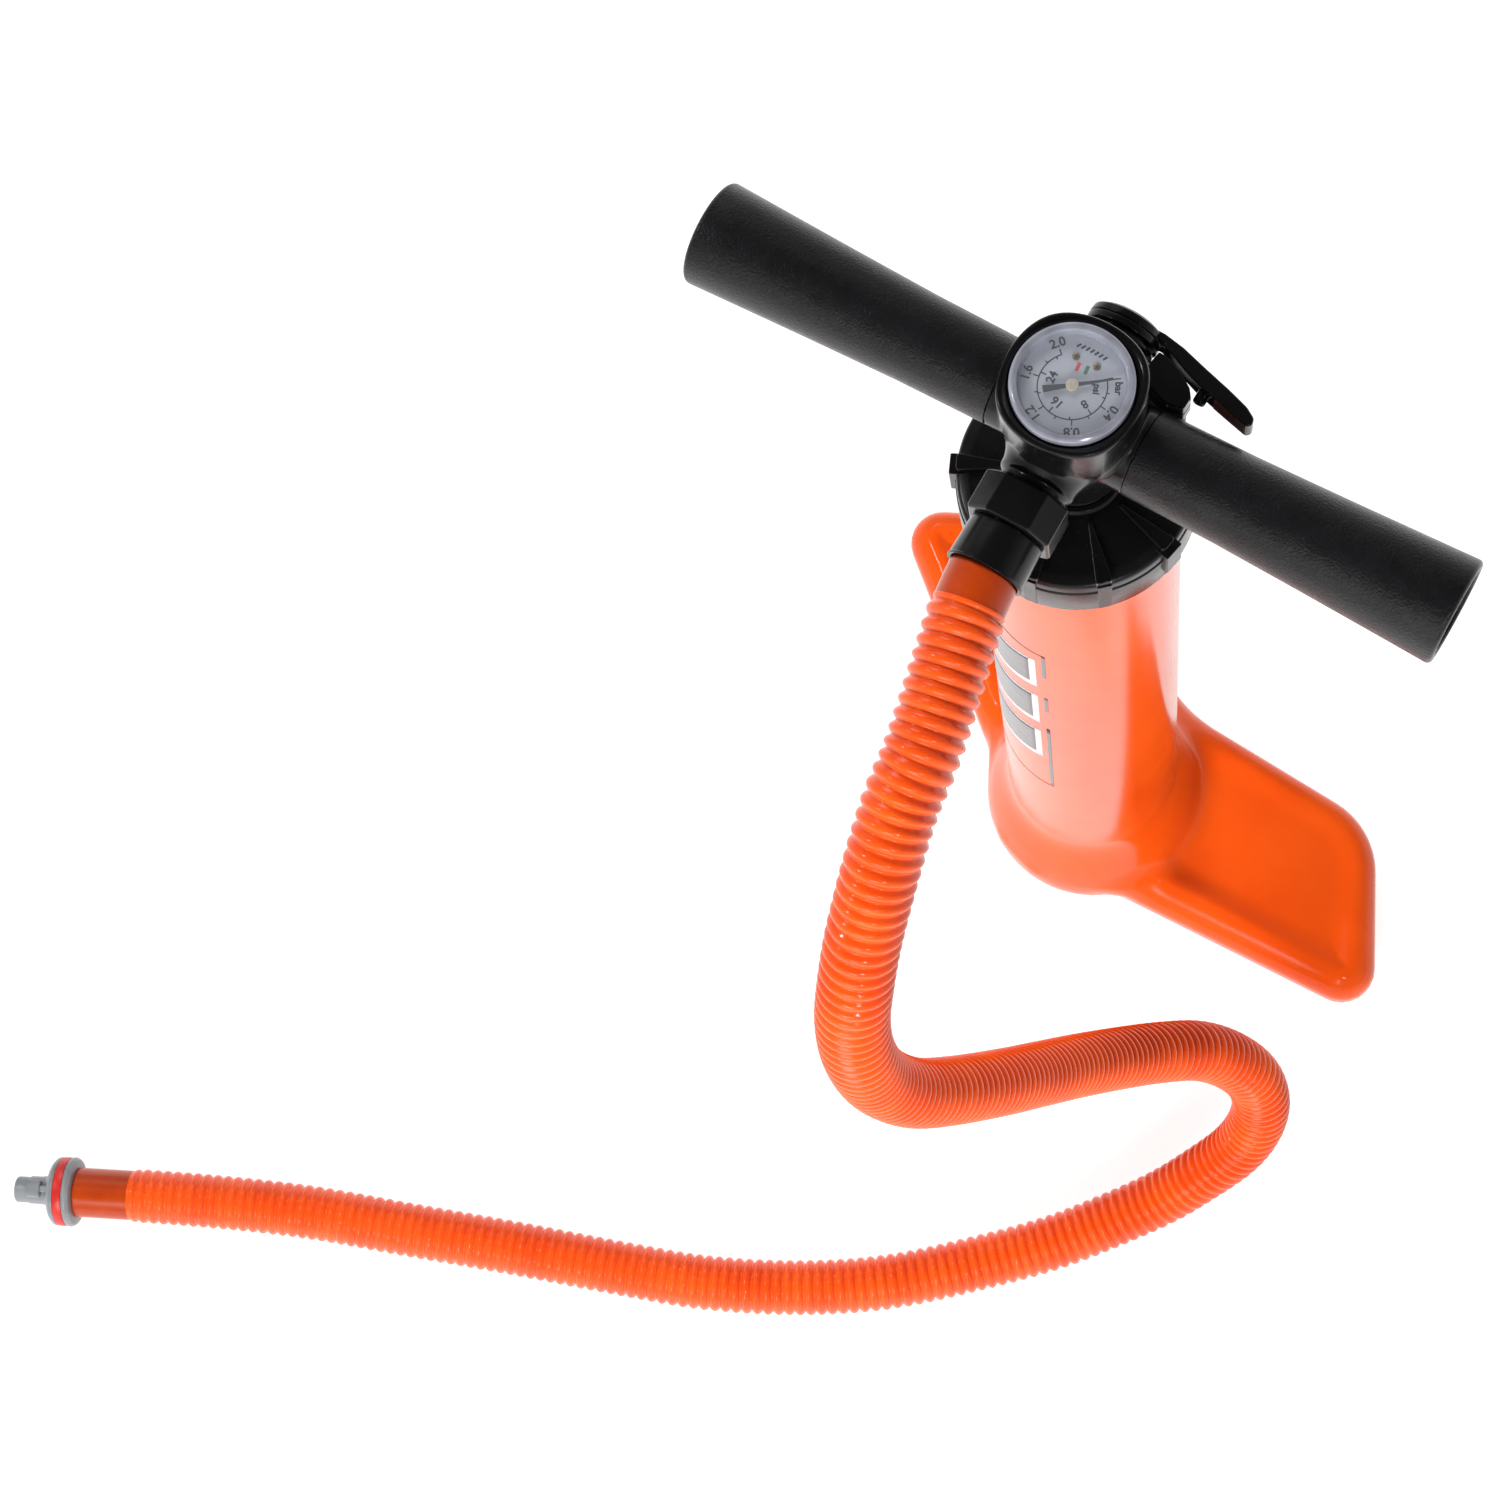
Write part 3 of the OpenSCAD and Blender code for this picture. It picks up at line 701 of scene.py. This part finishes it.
def make_label():
    """A plain sports stripe: slanted bars with a pale edge inside a thin frame."""
    dark = MATERIALS["label"]
    pale = FINISHES["label_pale"]
    pieces = []
    bottom, top = 192.0, 418.0
    left, right = -22, 9
    edge = 3.2
    slant = 18
    for z0, z1 in ((352, 386), (292, 330), (230, 270)):
        border = bar(left - edge, z0 - edge - 1, right + edge, z1 + edge, slant)
        pieces.append(label_patch(border, 0.10, pale))
        pieces.append(label_patch(bar(left, z0, right, z1, slant), 0.18, dark))
    side_line = ((bottom, 300), (330, 352), (385, top))
    frame_lines = [(15.0, z0, 16.6, z1) for z0, z1 in side_line]
    frame_lines += [(-21, z0, 16.6, z0 + 0.8) for z0 in (bottom, top - 0.8)]
    for line in frame_lines:
        pieces.append(label_patch(bar(*line), 0.16, dark))
    label = join("label_print", pieces)
    solidify = label.modifiers.new("thickness", "SOLIDIFY")
    solidify.thickness = 0.08 * MM
    apply_modifiers(label)
    finish_piece(label, "barrel", "label", ["barrel_label"])


make_shell()
make_label()

# ---- screw cap, guide bush and lower bump stop ----


def turned(angle):
    """A turn about Z, in degrees."""
    return Matrix.Rotation(math.radians(angle), 4, "Z")


def make_cap():
    """The screw cap: a disc with a skirt, radial ribs that run down the skirt, and three rim lugs."""
    hole = 15.2
    ribs = 10
    first_rib = 7
    in_r = BARREL_TOP_R + 0.9
    body = lathe("cap_disc", [
        (hole, NECK_TOP + 2), (in_r, NECK_TOP + 2), (in_r, CAP_SKIRT), (CAP_R + 0.6, CAP_SKIRT, 0.7),
        (CAP_R + 0.6, CAP_SKIRT + 19.6, 0.5), (CAP_R - 0.1, CAP_SKIRT + 20.2, 0.3),
        (CAP_R - 0.1, CAP_SKIRT + 21, 0.3), (CAP_R + 0.2, CAP_SKIRT + 21.5, 0.3),
        (CAP_R, CAP_TOP - 2.0, 2.0), (CAP_R - 4.5, CAP_TOP - 0.8, 3), (23, CAP_TOP, 2),
        (18.5, CAP_TOP + 0.2, 1), (hole, CAP_TOP + 0.2, 0.5)], None, 144)
    parts = [body]
    lugs = (0, 3, 6)
    for i in range(ribs):
        place = turned(first_rib + 360 / ribs * i)
        rib = [(19.5, -0.7), (CAP_R - 0.6, -3.1), (CAP_R + 0.1, -1.9), (CAP_R + 0.1, 1.9), (CAP_R - 0.6, 3.1),
               (19.5, 0.7)]
        parts.append(slab("rib", rib, CAP_TOP - 4, CAP_TOP + 1.6, place, 0.5))
        strap = [(CAP_R - 3, -2.6), (CAP_R + 0.75, -2.5), (CAP_R + 0.75, 2.5), (CAP_R - 3, 2.6)]
        parts.append(slab("strap", strap, CAP_SKIRT + 0.6, CAP_TOP - 1.6, place, 0.3))
        if i in lugs:
            lug = [(CAP_R - 3, -4.0), (CAP_R + 2.5, -3.8), (CAP_R + 2.5, 3.8), (CAP_R - 3, 4.0)]
            parts.append(slab("lug", lug, CAP_SKIRT + 9, CAP_TOP - 1.2, place, 0.5))
    finish_piece(join("cap_ribbed", parts), "barrel", "cap_black", ["top_cap"])


def make_collar():
    """The bush in the cap, and the rubber stop under the handle."""
    bush = lathe("bush_collar", [
        (11.05, NECK_TOP - 2), (14.95, NECK_TOP - 2), (14.95, CAP_TOP + 0.3), (17, CAP_TOP + 0.3, 0.4),
        (17, CAP_TOP + 3, 0.5), (16, CAP_TOP + 4, 0.5), (13.4, CAP_TOP + 4, 0.4), (13.4, CAP_TOP - 3),
        (11.05, CAP_TOP - 3)])
    finish_piece(bush, "bush", "body_black", ["guide_bush"])
    stop = lathe("rod_bumper", [
        (11.1, CAP_TOP + 5), (14.9, CAP_TOP + 5, 1.4), (14.0, CAP_TOP + 8.4, 2), (14.9, CAP_TOP + 11.8, 1.4),
        (11.1, CAP_TOP + 11.8)])
    finish_piece(stop, "handle", "rubber", ["lower_bump_stop"])


make_cap()
make_collar()

# ---- handle body ----


def body_field(x, y, z):
    """The handle body, in the handle's frame: the pod under the gauge, with its stub arms, outlet boss
    and rear port."""
    top = 35.0              # rim of the gauge's cup
    waist = 15.4            # radius of the pod where it ends on the rod
    bulge = 8.9             # how much wider the pod is at its rim
    squareness = 0.28
    rho = np.sqrt(x * x + y * y)
    squared = (x ** 4 + y ** 4) ** 0.25 * 1.04
    drop = np.clip((top - z) / 85, 0, 1.2)
    radius = waist + bulge * (1 - drop ** 2.0)
    lean = np.clip((z + 20) / 30, 0, 1)
    across = rho * (1 - squareness * lean) + squared * squareness * lean
    pod = round_slab(across - radius, np.abs(z + 5.5) - 40.5, 2.6)
    pod = soft_max(pod, z - (top - 0.5 * np.clip(radius - across, 0, 8)), 1.0)
    arm = np.sqrt(y * y + z * z)
    arms = np.maximum(arm - 11, np.abs(x) - 62)
    shoulder = round_slab(arm - 15.3, np.abs(x) - 25.95, 0.3)
    port = np.sqrt(x * x + z * z)
    outlet = np.maximum(port - 12, np.maximum(y, -33 - y))
    flange = round_slab(port - 13.6, np.abs(y + 22) - 4.6, 1.5)
    back = np.maximum(port - 12.8, np.maximum(-y, y - 26))
    body = soft_min(pod, shoulder, 2.0)
    body = soft_min(body, arms, 0.5)
    body = soft_min(body, soft_min(outlet, flange, 1.5), 5)
    body = soft_min(body, back, 5)
    cup = np.maximum(rho - (LENS_R + 0.5), 20 - z)
    bores = np.minimum(np.maximum(port - 8.7, 14 - np.abs(y)), np.maximum(rho - 11.05, z + 9))
    return soft_max(np.maximum(body, -bores), -cup, 0.9)


def make_handle_body():
    body = solid("handle_pod", body_field, (-64, -36, -50), (64, 30, 38), 0.9, HANDLE)
    finish_piece(body, "handle", "body_black", ["handle_body"])


def make_grips():
    """The two grips, open at their outer ends."""
    for sign, node in ((-1, "grip_left"), (1, "grip_right")):
        grip = lathe("handle_" + node, [
            (11.1, 26), (15.3, 26, 0.25), (15.7, 60, 60), (16.9, 95, 60), (18.1, 125, 40),
            (18.75, HALF_LEN, 2.2), (15.2, HALF_LEN, 1.2), (14.6, HALF_LEN - 4.5, 1),
            (13, HALF_LEN - 5.5, 0.6), (13, 70), (11.1, 66)],
            side(sign), 128, steps=6)
        finish_piece(grip, "handle", "grip_black", [node])


make_handle_body()
make_grips()

# ---- gauge ----


def dial_place(turn_degrees, height):
    """A frame on the dial: X points to the given angle of the handle's frame."""
    return HANDLE @ Matrix.Translation((0, 0, height - AXIS_Z)) @ turned(turn_degrees)


ZERO_TURN = 40.0        # direction of the scale's zero in the handle's frame
FIRST_SWEEP = 48.5      # clockwise from zero to the 0.4 bar mark
STEP_SWEEP = 53.7       # clockwise between the other 0.4 bar marks
SCALE_R = 11.3
INK = 0.06              # thickness of the print
LINE = 0.42             # width of the printed lines
BOLD = 0.11             # how much the digits' strokes are widened
PSI_PER_BAR = 14.504


def dial_turn(bar_value):
    """Direction of a pressure on the dial, in the handle's frame."""
    steps = bar_value / 0.4
    return ZERO_TURN - FIRST_SWEEP * min(steps, 1) - STEP_SWEEP * max(steps - 1, 0)


def word(text, size, place):
    """Printed digits, flat on the dial, read along X."""
    curve = bpy.data.curves.new("digits", "FONT")
    curve.body = text
    curve.size = size
    curve.align_x = "CENTER"
    curve.align_y = "CENTER"
    curve.resolution_u = 4
    curve.extrude = INK / 2
    curve.offset = BOLD
    source = bpy.data.objects.new("digits", curve)
    bpy.context.collection.objects.link(source)
    graph = bpy.context.evaluated_depsgraph_get()
    mesh = bpy.data.meshes.new_from_object(source.evaluated_get(graph))
    bpy.data.objects.remove(source)
    mesh.transform(Matrix.Scale(MM, 4) @ place)
    mesh.materials.clear()
    obj = bpy.data.objects.new("digits", mesh)
    bpy.context.collection.objects.link(obj)
    return obj


def tick(turn, r0, r1):
    """A printed line across the scale, from one radius to the other."""
    place = dial_place(turn, DIAL_Z + INK / 2)
    half = LINE / 2
    rings = [[(r0, -half, z), (r1, -half, z), (r1, half, z), (r0, half, z)] for z in (-INK / 2, INK / 2)]
    return loft("tick", rings, place)


def dial_box(x, y, length, width, turn, finish):
    """A small printed bar on the dial, centred at x, y of the handle's frame."""
    outline = [(-length / 2, -width / 2), (length / 2, -width / 2), (length / 2, width / 2),
               (-length / 2, width / 2)]
    place = HANDLE @ Matrix.Translation((x, y, DIAL_Z - AXIS_Z)) @ turned(turn)
    box = loft("mark", [[(u, v, z) for u, v in outline] for z in (0, INK)], place)
    return paint(box, FINISHES[finish])


def make_dial_print():
    """The scale's line and ticks, its numbers and units, two coloured marks and a row of plain strokes."""
    steps = 64
    full_scale = 2.0
    first = math.radians(ZERO_TURN) + HANDLE_YAW
    sweep = math.radians(ZERO_TURN - dial_turn(full_scale))
    z0, z1 = DIAL_Z, DIAL_Z + INK
    half = LINE / 2
    ring = lathe("scale_line", [(SCALE_R - half, z0), (SCALE_R + half, z0), (SCALE_R + half, z1),
                                (SCALE_R - half, z1)], None, steps, sweep=-sweep, start=first)
    parts = [ring]
    for i in range(11):
        parts.append(tick(dial_turn(0.2 * i), SCALE_R, SCALE_R + (2.0 if i % 2 == 0 else 1.0)))
    for psi in range(0, 30, 4):
        parts.append(tick(dial_turn(psi / PSI_PER_BAR), SCALE_R - (2.0 if psi % 8 == 0 else 1.0), SCALE_R))
    words = [(f"{0.4 * i:.1f}", 15.4, dial_turn(0.4 * i), 4.3) for i in range(1, 6)]
    words += [(str(psi), 7.2, dial_turn(psi / PSI_PER_BAR), 4.0) for psi in (8, 16, 24)]
    words += [("bar", 14.8, 25.0, 3.4), ("psi", 7.8, 20.0, 3.2)]
    for text, radius, turn, size in words:
        place = dial_place(turn, DIAL_Z + INK / 2) @ Matrix.Translation((radius, 0, 0)) @ turned(-90)
        parts.append(word(text, size, place))
    for obj in parts:
        paint(obj, FINISHES["print_black"])
    parts.append(dial_box(-1.6, 6.6, 3.0, 1.2, 96, "mark_red"))
    parts.append(dial_box(1.4, 6.9, 3.0, 1.2, 96, "mark_green"))
    for i in range(7):
        parts.append(dial_box(-4.8 + 1.6 * i, 13.4 - 0.03 * (i - 3) ** 2, 1.7, 0.7, 60, "print_black"))
    finish_piece(join("dial_print", parts), "handle", "needle_black")


def make_gauge():
    """The dial plate, the lens with its bright rim, and the cup with the stem under it."""
    plate = lathe("dial_plate", [
        (0, DIAL_Z - 0.6), (LENS_R - 1.0, DIAL_Z - 0.6), (LENS_R - 1.0, DIAL_Z, 0.1),
        (0, DIAL_Z)], None, 128, False)
    finish_piece(plate, "handle", "dial_white", ["gauge_dial"])
    rim = lathe("lens_rim", [
        (LENS_R - 3.1, DIAL_Z + 0.1), (LENS_R - 2.7, DIAL_Z + 0.1), (LENS_R - 2.4, LENS_TOP - 4.2),
        (LENS_R - 0.1, LENS_TOP - 4.2), (LENS_R - 0.1, LENS_TOP - 1.1, 0.8),
        (LENS_R - 1.2, LENS_TOP - 0.4, 0.9), (LENS_R - 2.6, LENS_TOP - 0.6, 0.4),
        (LENS_R - 3.1, LENS_TOP - 1.7, 0.3)], None, 128)
    # the rim gets a painted reflection: a silver-lilac colour in place of the light that its clear plastic
    # edges reflect
    finish_piece(rim, "handle", "lens_clear", material=FINISHES["rim_painted_reflection"])
    pane = lathe("lens_pane", [
        (0, LENS_TOP - 1.3), (LENS_R - 3.2, LENS_TOP - 1.6), (LENS_R - 3.2, LENS_TOP - 0.75, 0.3),
        (LENS_R - 6, LENS_TOP - 0.2, 4), (0, LENS_TOP)], None, 128, False)
    finish_piece(pane, "handle", "lens_clear", ["gauge_lens"])
    case = lathe("gauge_cup", [
        (2.5, CUP_Z + 0.1), (LENS_R + 0.2, CUP_Z + 0.1, 0.8), (LENS_R + 0.2, LENS_TOP - 4.3, 0.2),
        (LENS_R - 0.6, LENS_TOP - 4.3, 0.2), (LENS_R - 0.6, CUP_Z + 1.2, 0.4), (2.5, CUP_Z + 1.2)])
    stem = lathe("gauge_stem", [(1.1, AXIS_Z + 5), (2.5, AXIS_Z + 5, 0.4), (2.5, CUP_Z + 1.2),
                                (1.1, CUP_Z + 1.2)])
    finish_piece(join("gauge_cup", [case, stem]), "handle", "body_black", ["gauge_case"])


def make_dial_screws():
    parts = []
    for x in (-3.8, 3.8):
        place = HANDLE @ Matrix.Translation((x, 9.4, DIAL_Z - AXIS_Z))
        outline = [(0, 0), (1.35, 0), (1.35, 0.35, 0.25), (0.5, 0.6, 0.5), (0, 0.62)]
        head = lathe("head", outline, place, 40, False)
        parts.append(head)
        for turn in (25, 115):
            cross = [(-0.8, -0.13), (0.8, -0.13), (0.8, 0.13), (-0.8, 0.13)]
            slot = slab("cross", cross, 0.50, 0.66, place @ turned(turn), 0.03, 1)
            paint(slot, FINISHES["print_black"])
            parts.append(slot)
        paint(head, MATERIALS["brass"])
    finish_piece(join("dial_screw_heads", parts), "handle", "brass", ["dial_screws"])


NEEDLE_TURN = 36.0      # way that the needle points at rest, in the handle's frame


def make_needle():
    place = dial_place(NEEDLE_TURN, DIAL_Z + 1.0)
    blade = [(-9.6, -1.25), (-9.6, 1.25), (-2, 0.7), (0, 0.85), (2, 0.7), (15.8, 0.16), (15.8, -0.16),
             (2, -0.7), (0, -0.85), (-2, -0.7)]
    needle = slab("needle_blade", blade, 0, 0.45, place, 0.08, 2)
    finish_piece(needle, "needle", "needle_black", ["gauge_needle"])
    hub = lathe("needle_hub", [(0, -5), (1.3, -5), (1.3, 0.1), (2.1, 0.1, 0.1), (2.1, 0.75, 0.25),
                               (0.45, 0.85, 0.1), (0.3, 0.6), (0, 0.6)], place, 48, False)
    finish_piece(hub, "needle", "brass", material=FINISHES["hub_cream"])


make_gauge()
make_dial_print()
make_dial_screws()
make_needle()

# ---- union nut and hose sleeve ----


def octagon(radius, z, flat=1.0):
    """An eight-sided ring whose top and bottom flats are wider than its corner facets by the factor flat."""
    half = radius * math.tan(math.pi / 8) * flat
    return [(half, radius, z), (radius, half, z), (radius, -half, z), (half, -radius, z),
            (-half, -radius, z), (-radius, -half, z), (-radius, half, z), (-half, radius, z)]


def make_nut():
    """The eight-sided union nut and the smooth sleeve that the hose ends in."""
    flat_r = 15.1
    stations = ((29.5, 13.2), (31.0, flat_r), (44.2, flat_r), (45.0, 14.4))
    nut = loft("nut_octagon", [octagon(r, z, 1.25) for z, r in stations], OUTLET)
    bevel(nut, 0.45, 3, 15)
    finish_piece(nut, "nut", "body_black", ["union_nut"])
    sleeve = lathe("sleeve_cone", [
        (9, 34.6), (12.6, 34.6), (12.6, 38), (11.4, 38), (11.4, 45.4), (13.2, 45.4, 0.5),
        (13.65, OUTLET_LEN - 0.9, 0.3), (13.9, OUTLET_LEN - 0.6, 0.3), (13.9, OUTLET_LEN, 0.4),
        (CUFF_R + 0.2, OUTLET_LEN, 0.3), (CUFF_R + 0.2, 49), (9, 49)], OUTLET)
    finish_piece(sleeve, "handle", "body_black", ["hose_sleeve"])


make_nut()

# ---- rear selector ----


def lever_outline():
    """The bent lever seen along Z, in the handle's frame."""
    tip = fillet([(13.5, 38.2), (21, 36.8, 12), (31, 33.8, 12), (41, 31, 12), (49, 28.4, 8), (52.8, 26, 2),
                  (53.3, 23.6, 1.4), (51.8, 22.3, 1), (43.6, 24.3, 12), (36, 26.4, 6)], False, 6)
    return [(4, 34.9), (4, 38.5)] + tip + [(31.4, 27.6), (26, 29.6), (20, 32.2), (15.8, 33.8), (14.4, 34.9)]


def make_lever_pad():
    """The reddish inner face of the lever's tip."""
    pad = fillet([(38, 25.7), (43.6, 24.25, 12), (51.2, 22.4), (51.2, 22.9), (43.6, 24.8, 12), (38, 26.3)],
                 True, 6)
    return slab("lever_pad", pad, -4.8, 4.8, HANDLE, 0.15, 1)


def make_selector():
    """The ringed plug in the rear port and the lever that turns it."""
    plug = lathe("plug_rings", [
        (3, 19), (8.9, 19, 0.4), (8.9, 21), (7.4, 21), (7.4, 23.2), (8.9, 23.2), (8.9, 26.3), (13, 26.3, 0.5),
        (13, 27.8, 0.5), (11, 28.0, 0.3), (11, 29.0, 0.3), (12.8, 29.2, 0.5), (12.8, 30.6, 0.5),
        (10.8, 30.8, 0.3), (10.8, 31.8, 0.3), (13.2, 32, 0.4), (13.4, 34.6, 0.6), (6, 34.6), (6, 24),
        (3, 24)], REAR)
    finish_piece(plug, "selector", "body_black", ["selector_plug"])
    disc = lathe("disc", [(0, 34.7), (13.4, 34.7, 0.5), (13.0, 37.4, 0.8), (10.4, 38.9, 1.2),
                          (9.4, 38.3, 0.8), (0, 38.3)], REAR, 96, False)
    spigot = lathe("spigot", [(0, 28), (5.9, 28), (5.9, 35), (0, 35)], REAR, 64, False)
    blade = slab("blade", lever_outline(), -5.5, 5.5, HANDLE, 0.9)
    peg_place = HANDLE @ Matrix.Translation((33.6, 24.7, 0)) @ Matrix.Rotation(-math.pi / 2, 4, "X")
    peg = lathe("peg", [(0, -1.4), (2.2, -1.4, 0.7), (2.2, 3), (0, 3)], peg_place, 40, False)
    for obj in (disc, spigot, blade, peg):
        paint(obj, MATERIALS["body_black"])
    pad = paint(make_lever_pad(), FINISHES["lever_red"])
    lever = join("selector_arm", [disc, spigot, blade, peg, pad])
    finish_piece(lever, "selector", "body_black", ["selector_lever"])


def make_block():
    """The valve housing beside the rear port: two halves with a fine split line between them."""
    outline = fillet([(12.6, 21), (25, 16.7, 1.0), (31.2, 18, 0.8), (31.4, 22.4, 0.8), (29.4, 25.2, 1.5),
                      (25, 28.2, 2), (19, 31, 2), (14.6, 31.6)])
    halves = [slab("block", outline, -7, -0.7, HANDLE, 0.6), slab("block", outline, -0.5, 6, HANDLE, 0.6)]
    inner = fillet([(13, 21.4), (25, 17.2, 1.0), (30.7, 18.4, 0.8), (30.9, 22, 0.8), (29, 24.8, 1.5),
                    (24.7, 27.7, 2), (18.8, 30.5, 2), (15, 31.1)])
    halves.append(slab("block", inner, -2, 1, HANDLE, 0.2, 1))
    finish_piece(join("valve_housing", halves), "handle", "body_black", ["valve_block"])


make_selector()
make_block()

# ---- CAD nodes that stay, in their own finishes ----


def finish_cad_nodes():
    """Gives each node that is carried as it is the material of its slot."""
    slots = {row["node"]: row["material_slot"] for row in frame["record"]["subparts"]}
    for node, obj in frame["nodes"].items():
        paint(obj, MATERIALS[slots[node]])


finish_cad_nodes()

# ---- floor and light ----


def add_floor():
    """A pale paper floor, just under the part, that glows a little to keep its shadows faint."""
    size = 12000.0
    level = -0.3
    corners = [(-size, -size, level), (size, -size, level), (size, size, level), (-size, size, level)]
    floor = build("floor", corners, [[0, 1, 2, 3]])
    material = bpy.data.materials.new("floor_paper")
    material.use_nodes = True
    shader = material.node_tree.nodes["Principled BSDF"]
    shader.inputs["Base Color"].default_value = (0.36, 0.36, 0.36, 1)
    shader.inputs["Roughness"].default_value = 0.9
    shader.inputs["Specular IOR Level"].default_value = 0.1
    shader.inputs["Emission Color"].default_value = (1, 1, 1, 1)
    shader.inputs["Emission Strength"].default_value = 0.83
    floor.data.materials.append(material)


def add_light(name, position, target, width, height, power, mirrored=True):
    """A rectangular lamp aimed at a target. One that isn't mirrored shows in no reflection."""
    data = bpy.data.lights.new(name, "AREA")
    data.shape = "RECTANGLE"
    data.size = width
    data.size_y = height
    data.energy = power
    light = bpy.data.objects.new(name, data)
    light.location = position
    light.rotation_euler = (Vector(target) - Vector(position)).to_track_quat("-Z", "Y").to_euler()
    light.visible_glossy = mirrored
    bpy.context.collection.objects.link(light)


def add_world():
    """A pale horizon under a dark ceiling, as in a studio with a lit table."""
    world = bpy.data.worlds.new("studio")
    bpy.context.scene.world = world
    world.use_nodes = True
    tree = world.node_tree
    background = tree.nodes["Background"]
    background.inputs["Strength"].default_value = 1.0
    coords = tree.nodes.new("ShaderNodeTexCoord")
    parts = tree.nodes.new("ShaderNodeSeparateXYZ")
    ramp = tree.nodes.new("ShaderNodeValToRGB")
    ramp.color_ramp.elements[0].position = 0.10
    ramp.color_ramp.elements[0].color = (0.55, 0.55, 0.55, 1)
    ramp.color_ramp.elements[1].position = 0.75
    ramp.color_ramp.elements[1].color = (0.07, 0.07, 0.07, 1)
    tree.links.new(coords.outputs["Generated"], parts.inputs["Vector"])
    tree.links.new(parts.outputs["Z"], ramp.inputs["Fac"])
    tree.links.new(ramp.outputs["Color"], background.inputs["Color"])


def light_scene():
    """A wide key and fill that only light, a small sheen in each one's place, and two glints."""
    aim = (0.0, -0.1, 0.3)
    key_at = (1.1, -1.9, 1.5)
    fill_at = (-1.8, 0.9, 1.9)
    add_light("key", key_at, aim, 1.6, 1.2, 54, mirrored=False)
    add_light("key_sheen", key_at, aim, 0.9, 0.45, 25)
    add_light("fill", fill_at, aim, 1.4, 1.4, 34, mirrored=False)
    add_light("fill_sheen", fill_at, aim, 0.6, 0.6, 12)
    add_light("dot_right", (1.3, -0.6, 1.9), aim, 0.10, 0.10, 4)
    add_light("dot_left", (-1.2, -0.9, 1.9), aim, 0.10, 0.10, 4)
    bpy.context.scene.view_settings.view_transform = "Standard"


add_world()
add_floor()
light_scene()
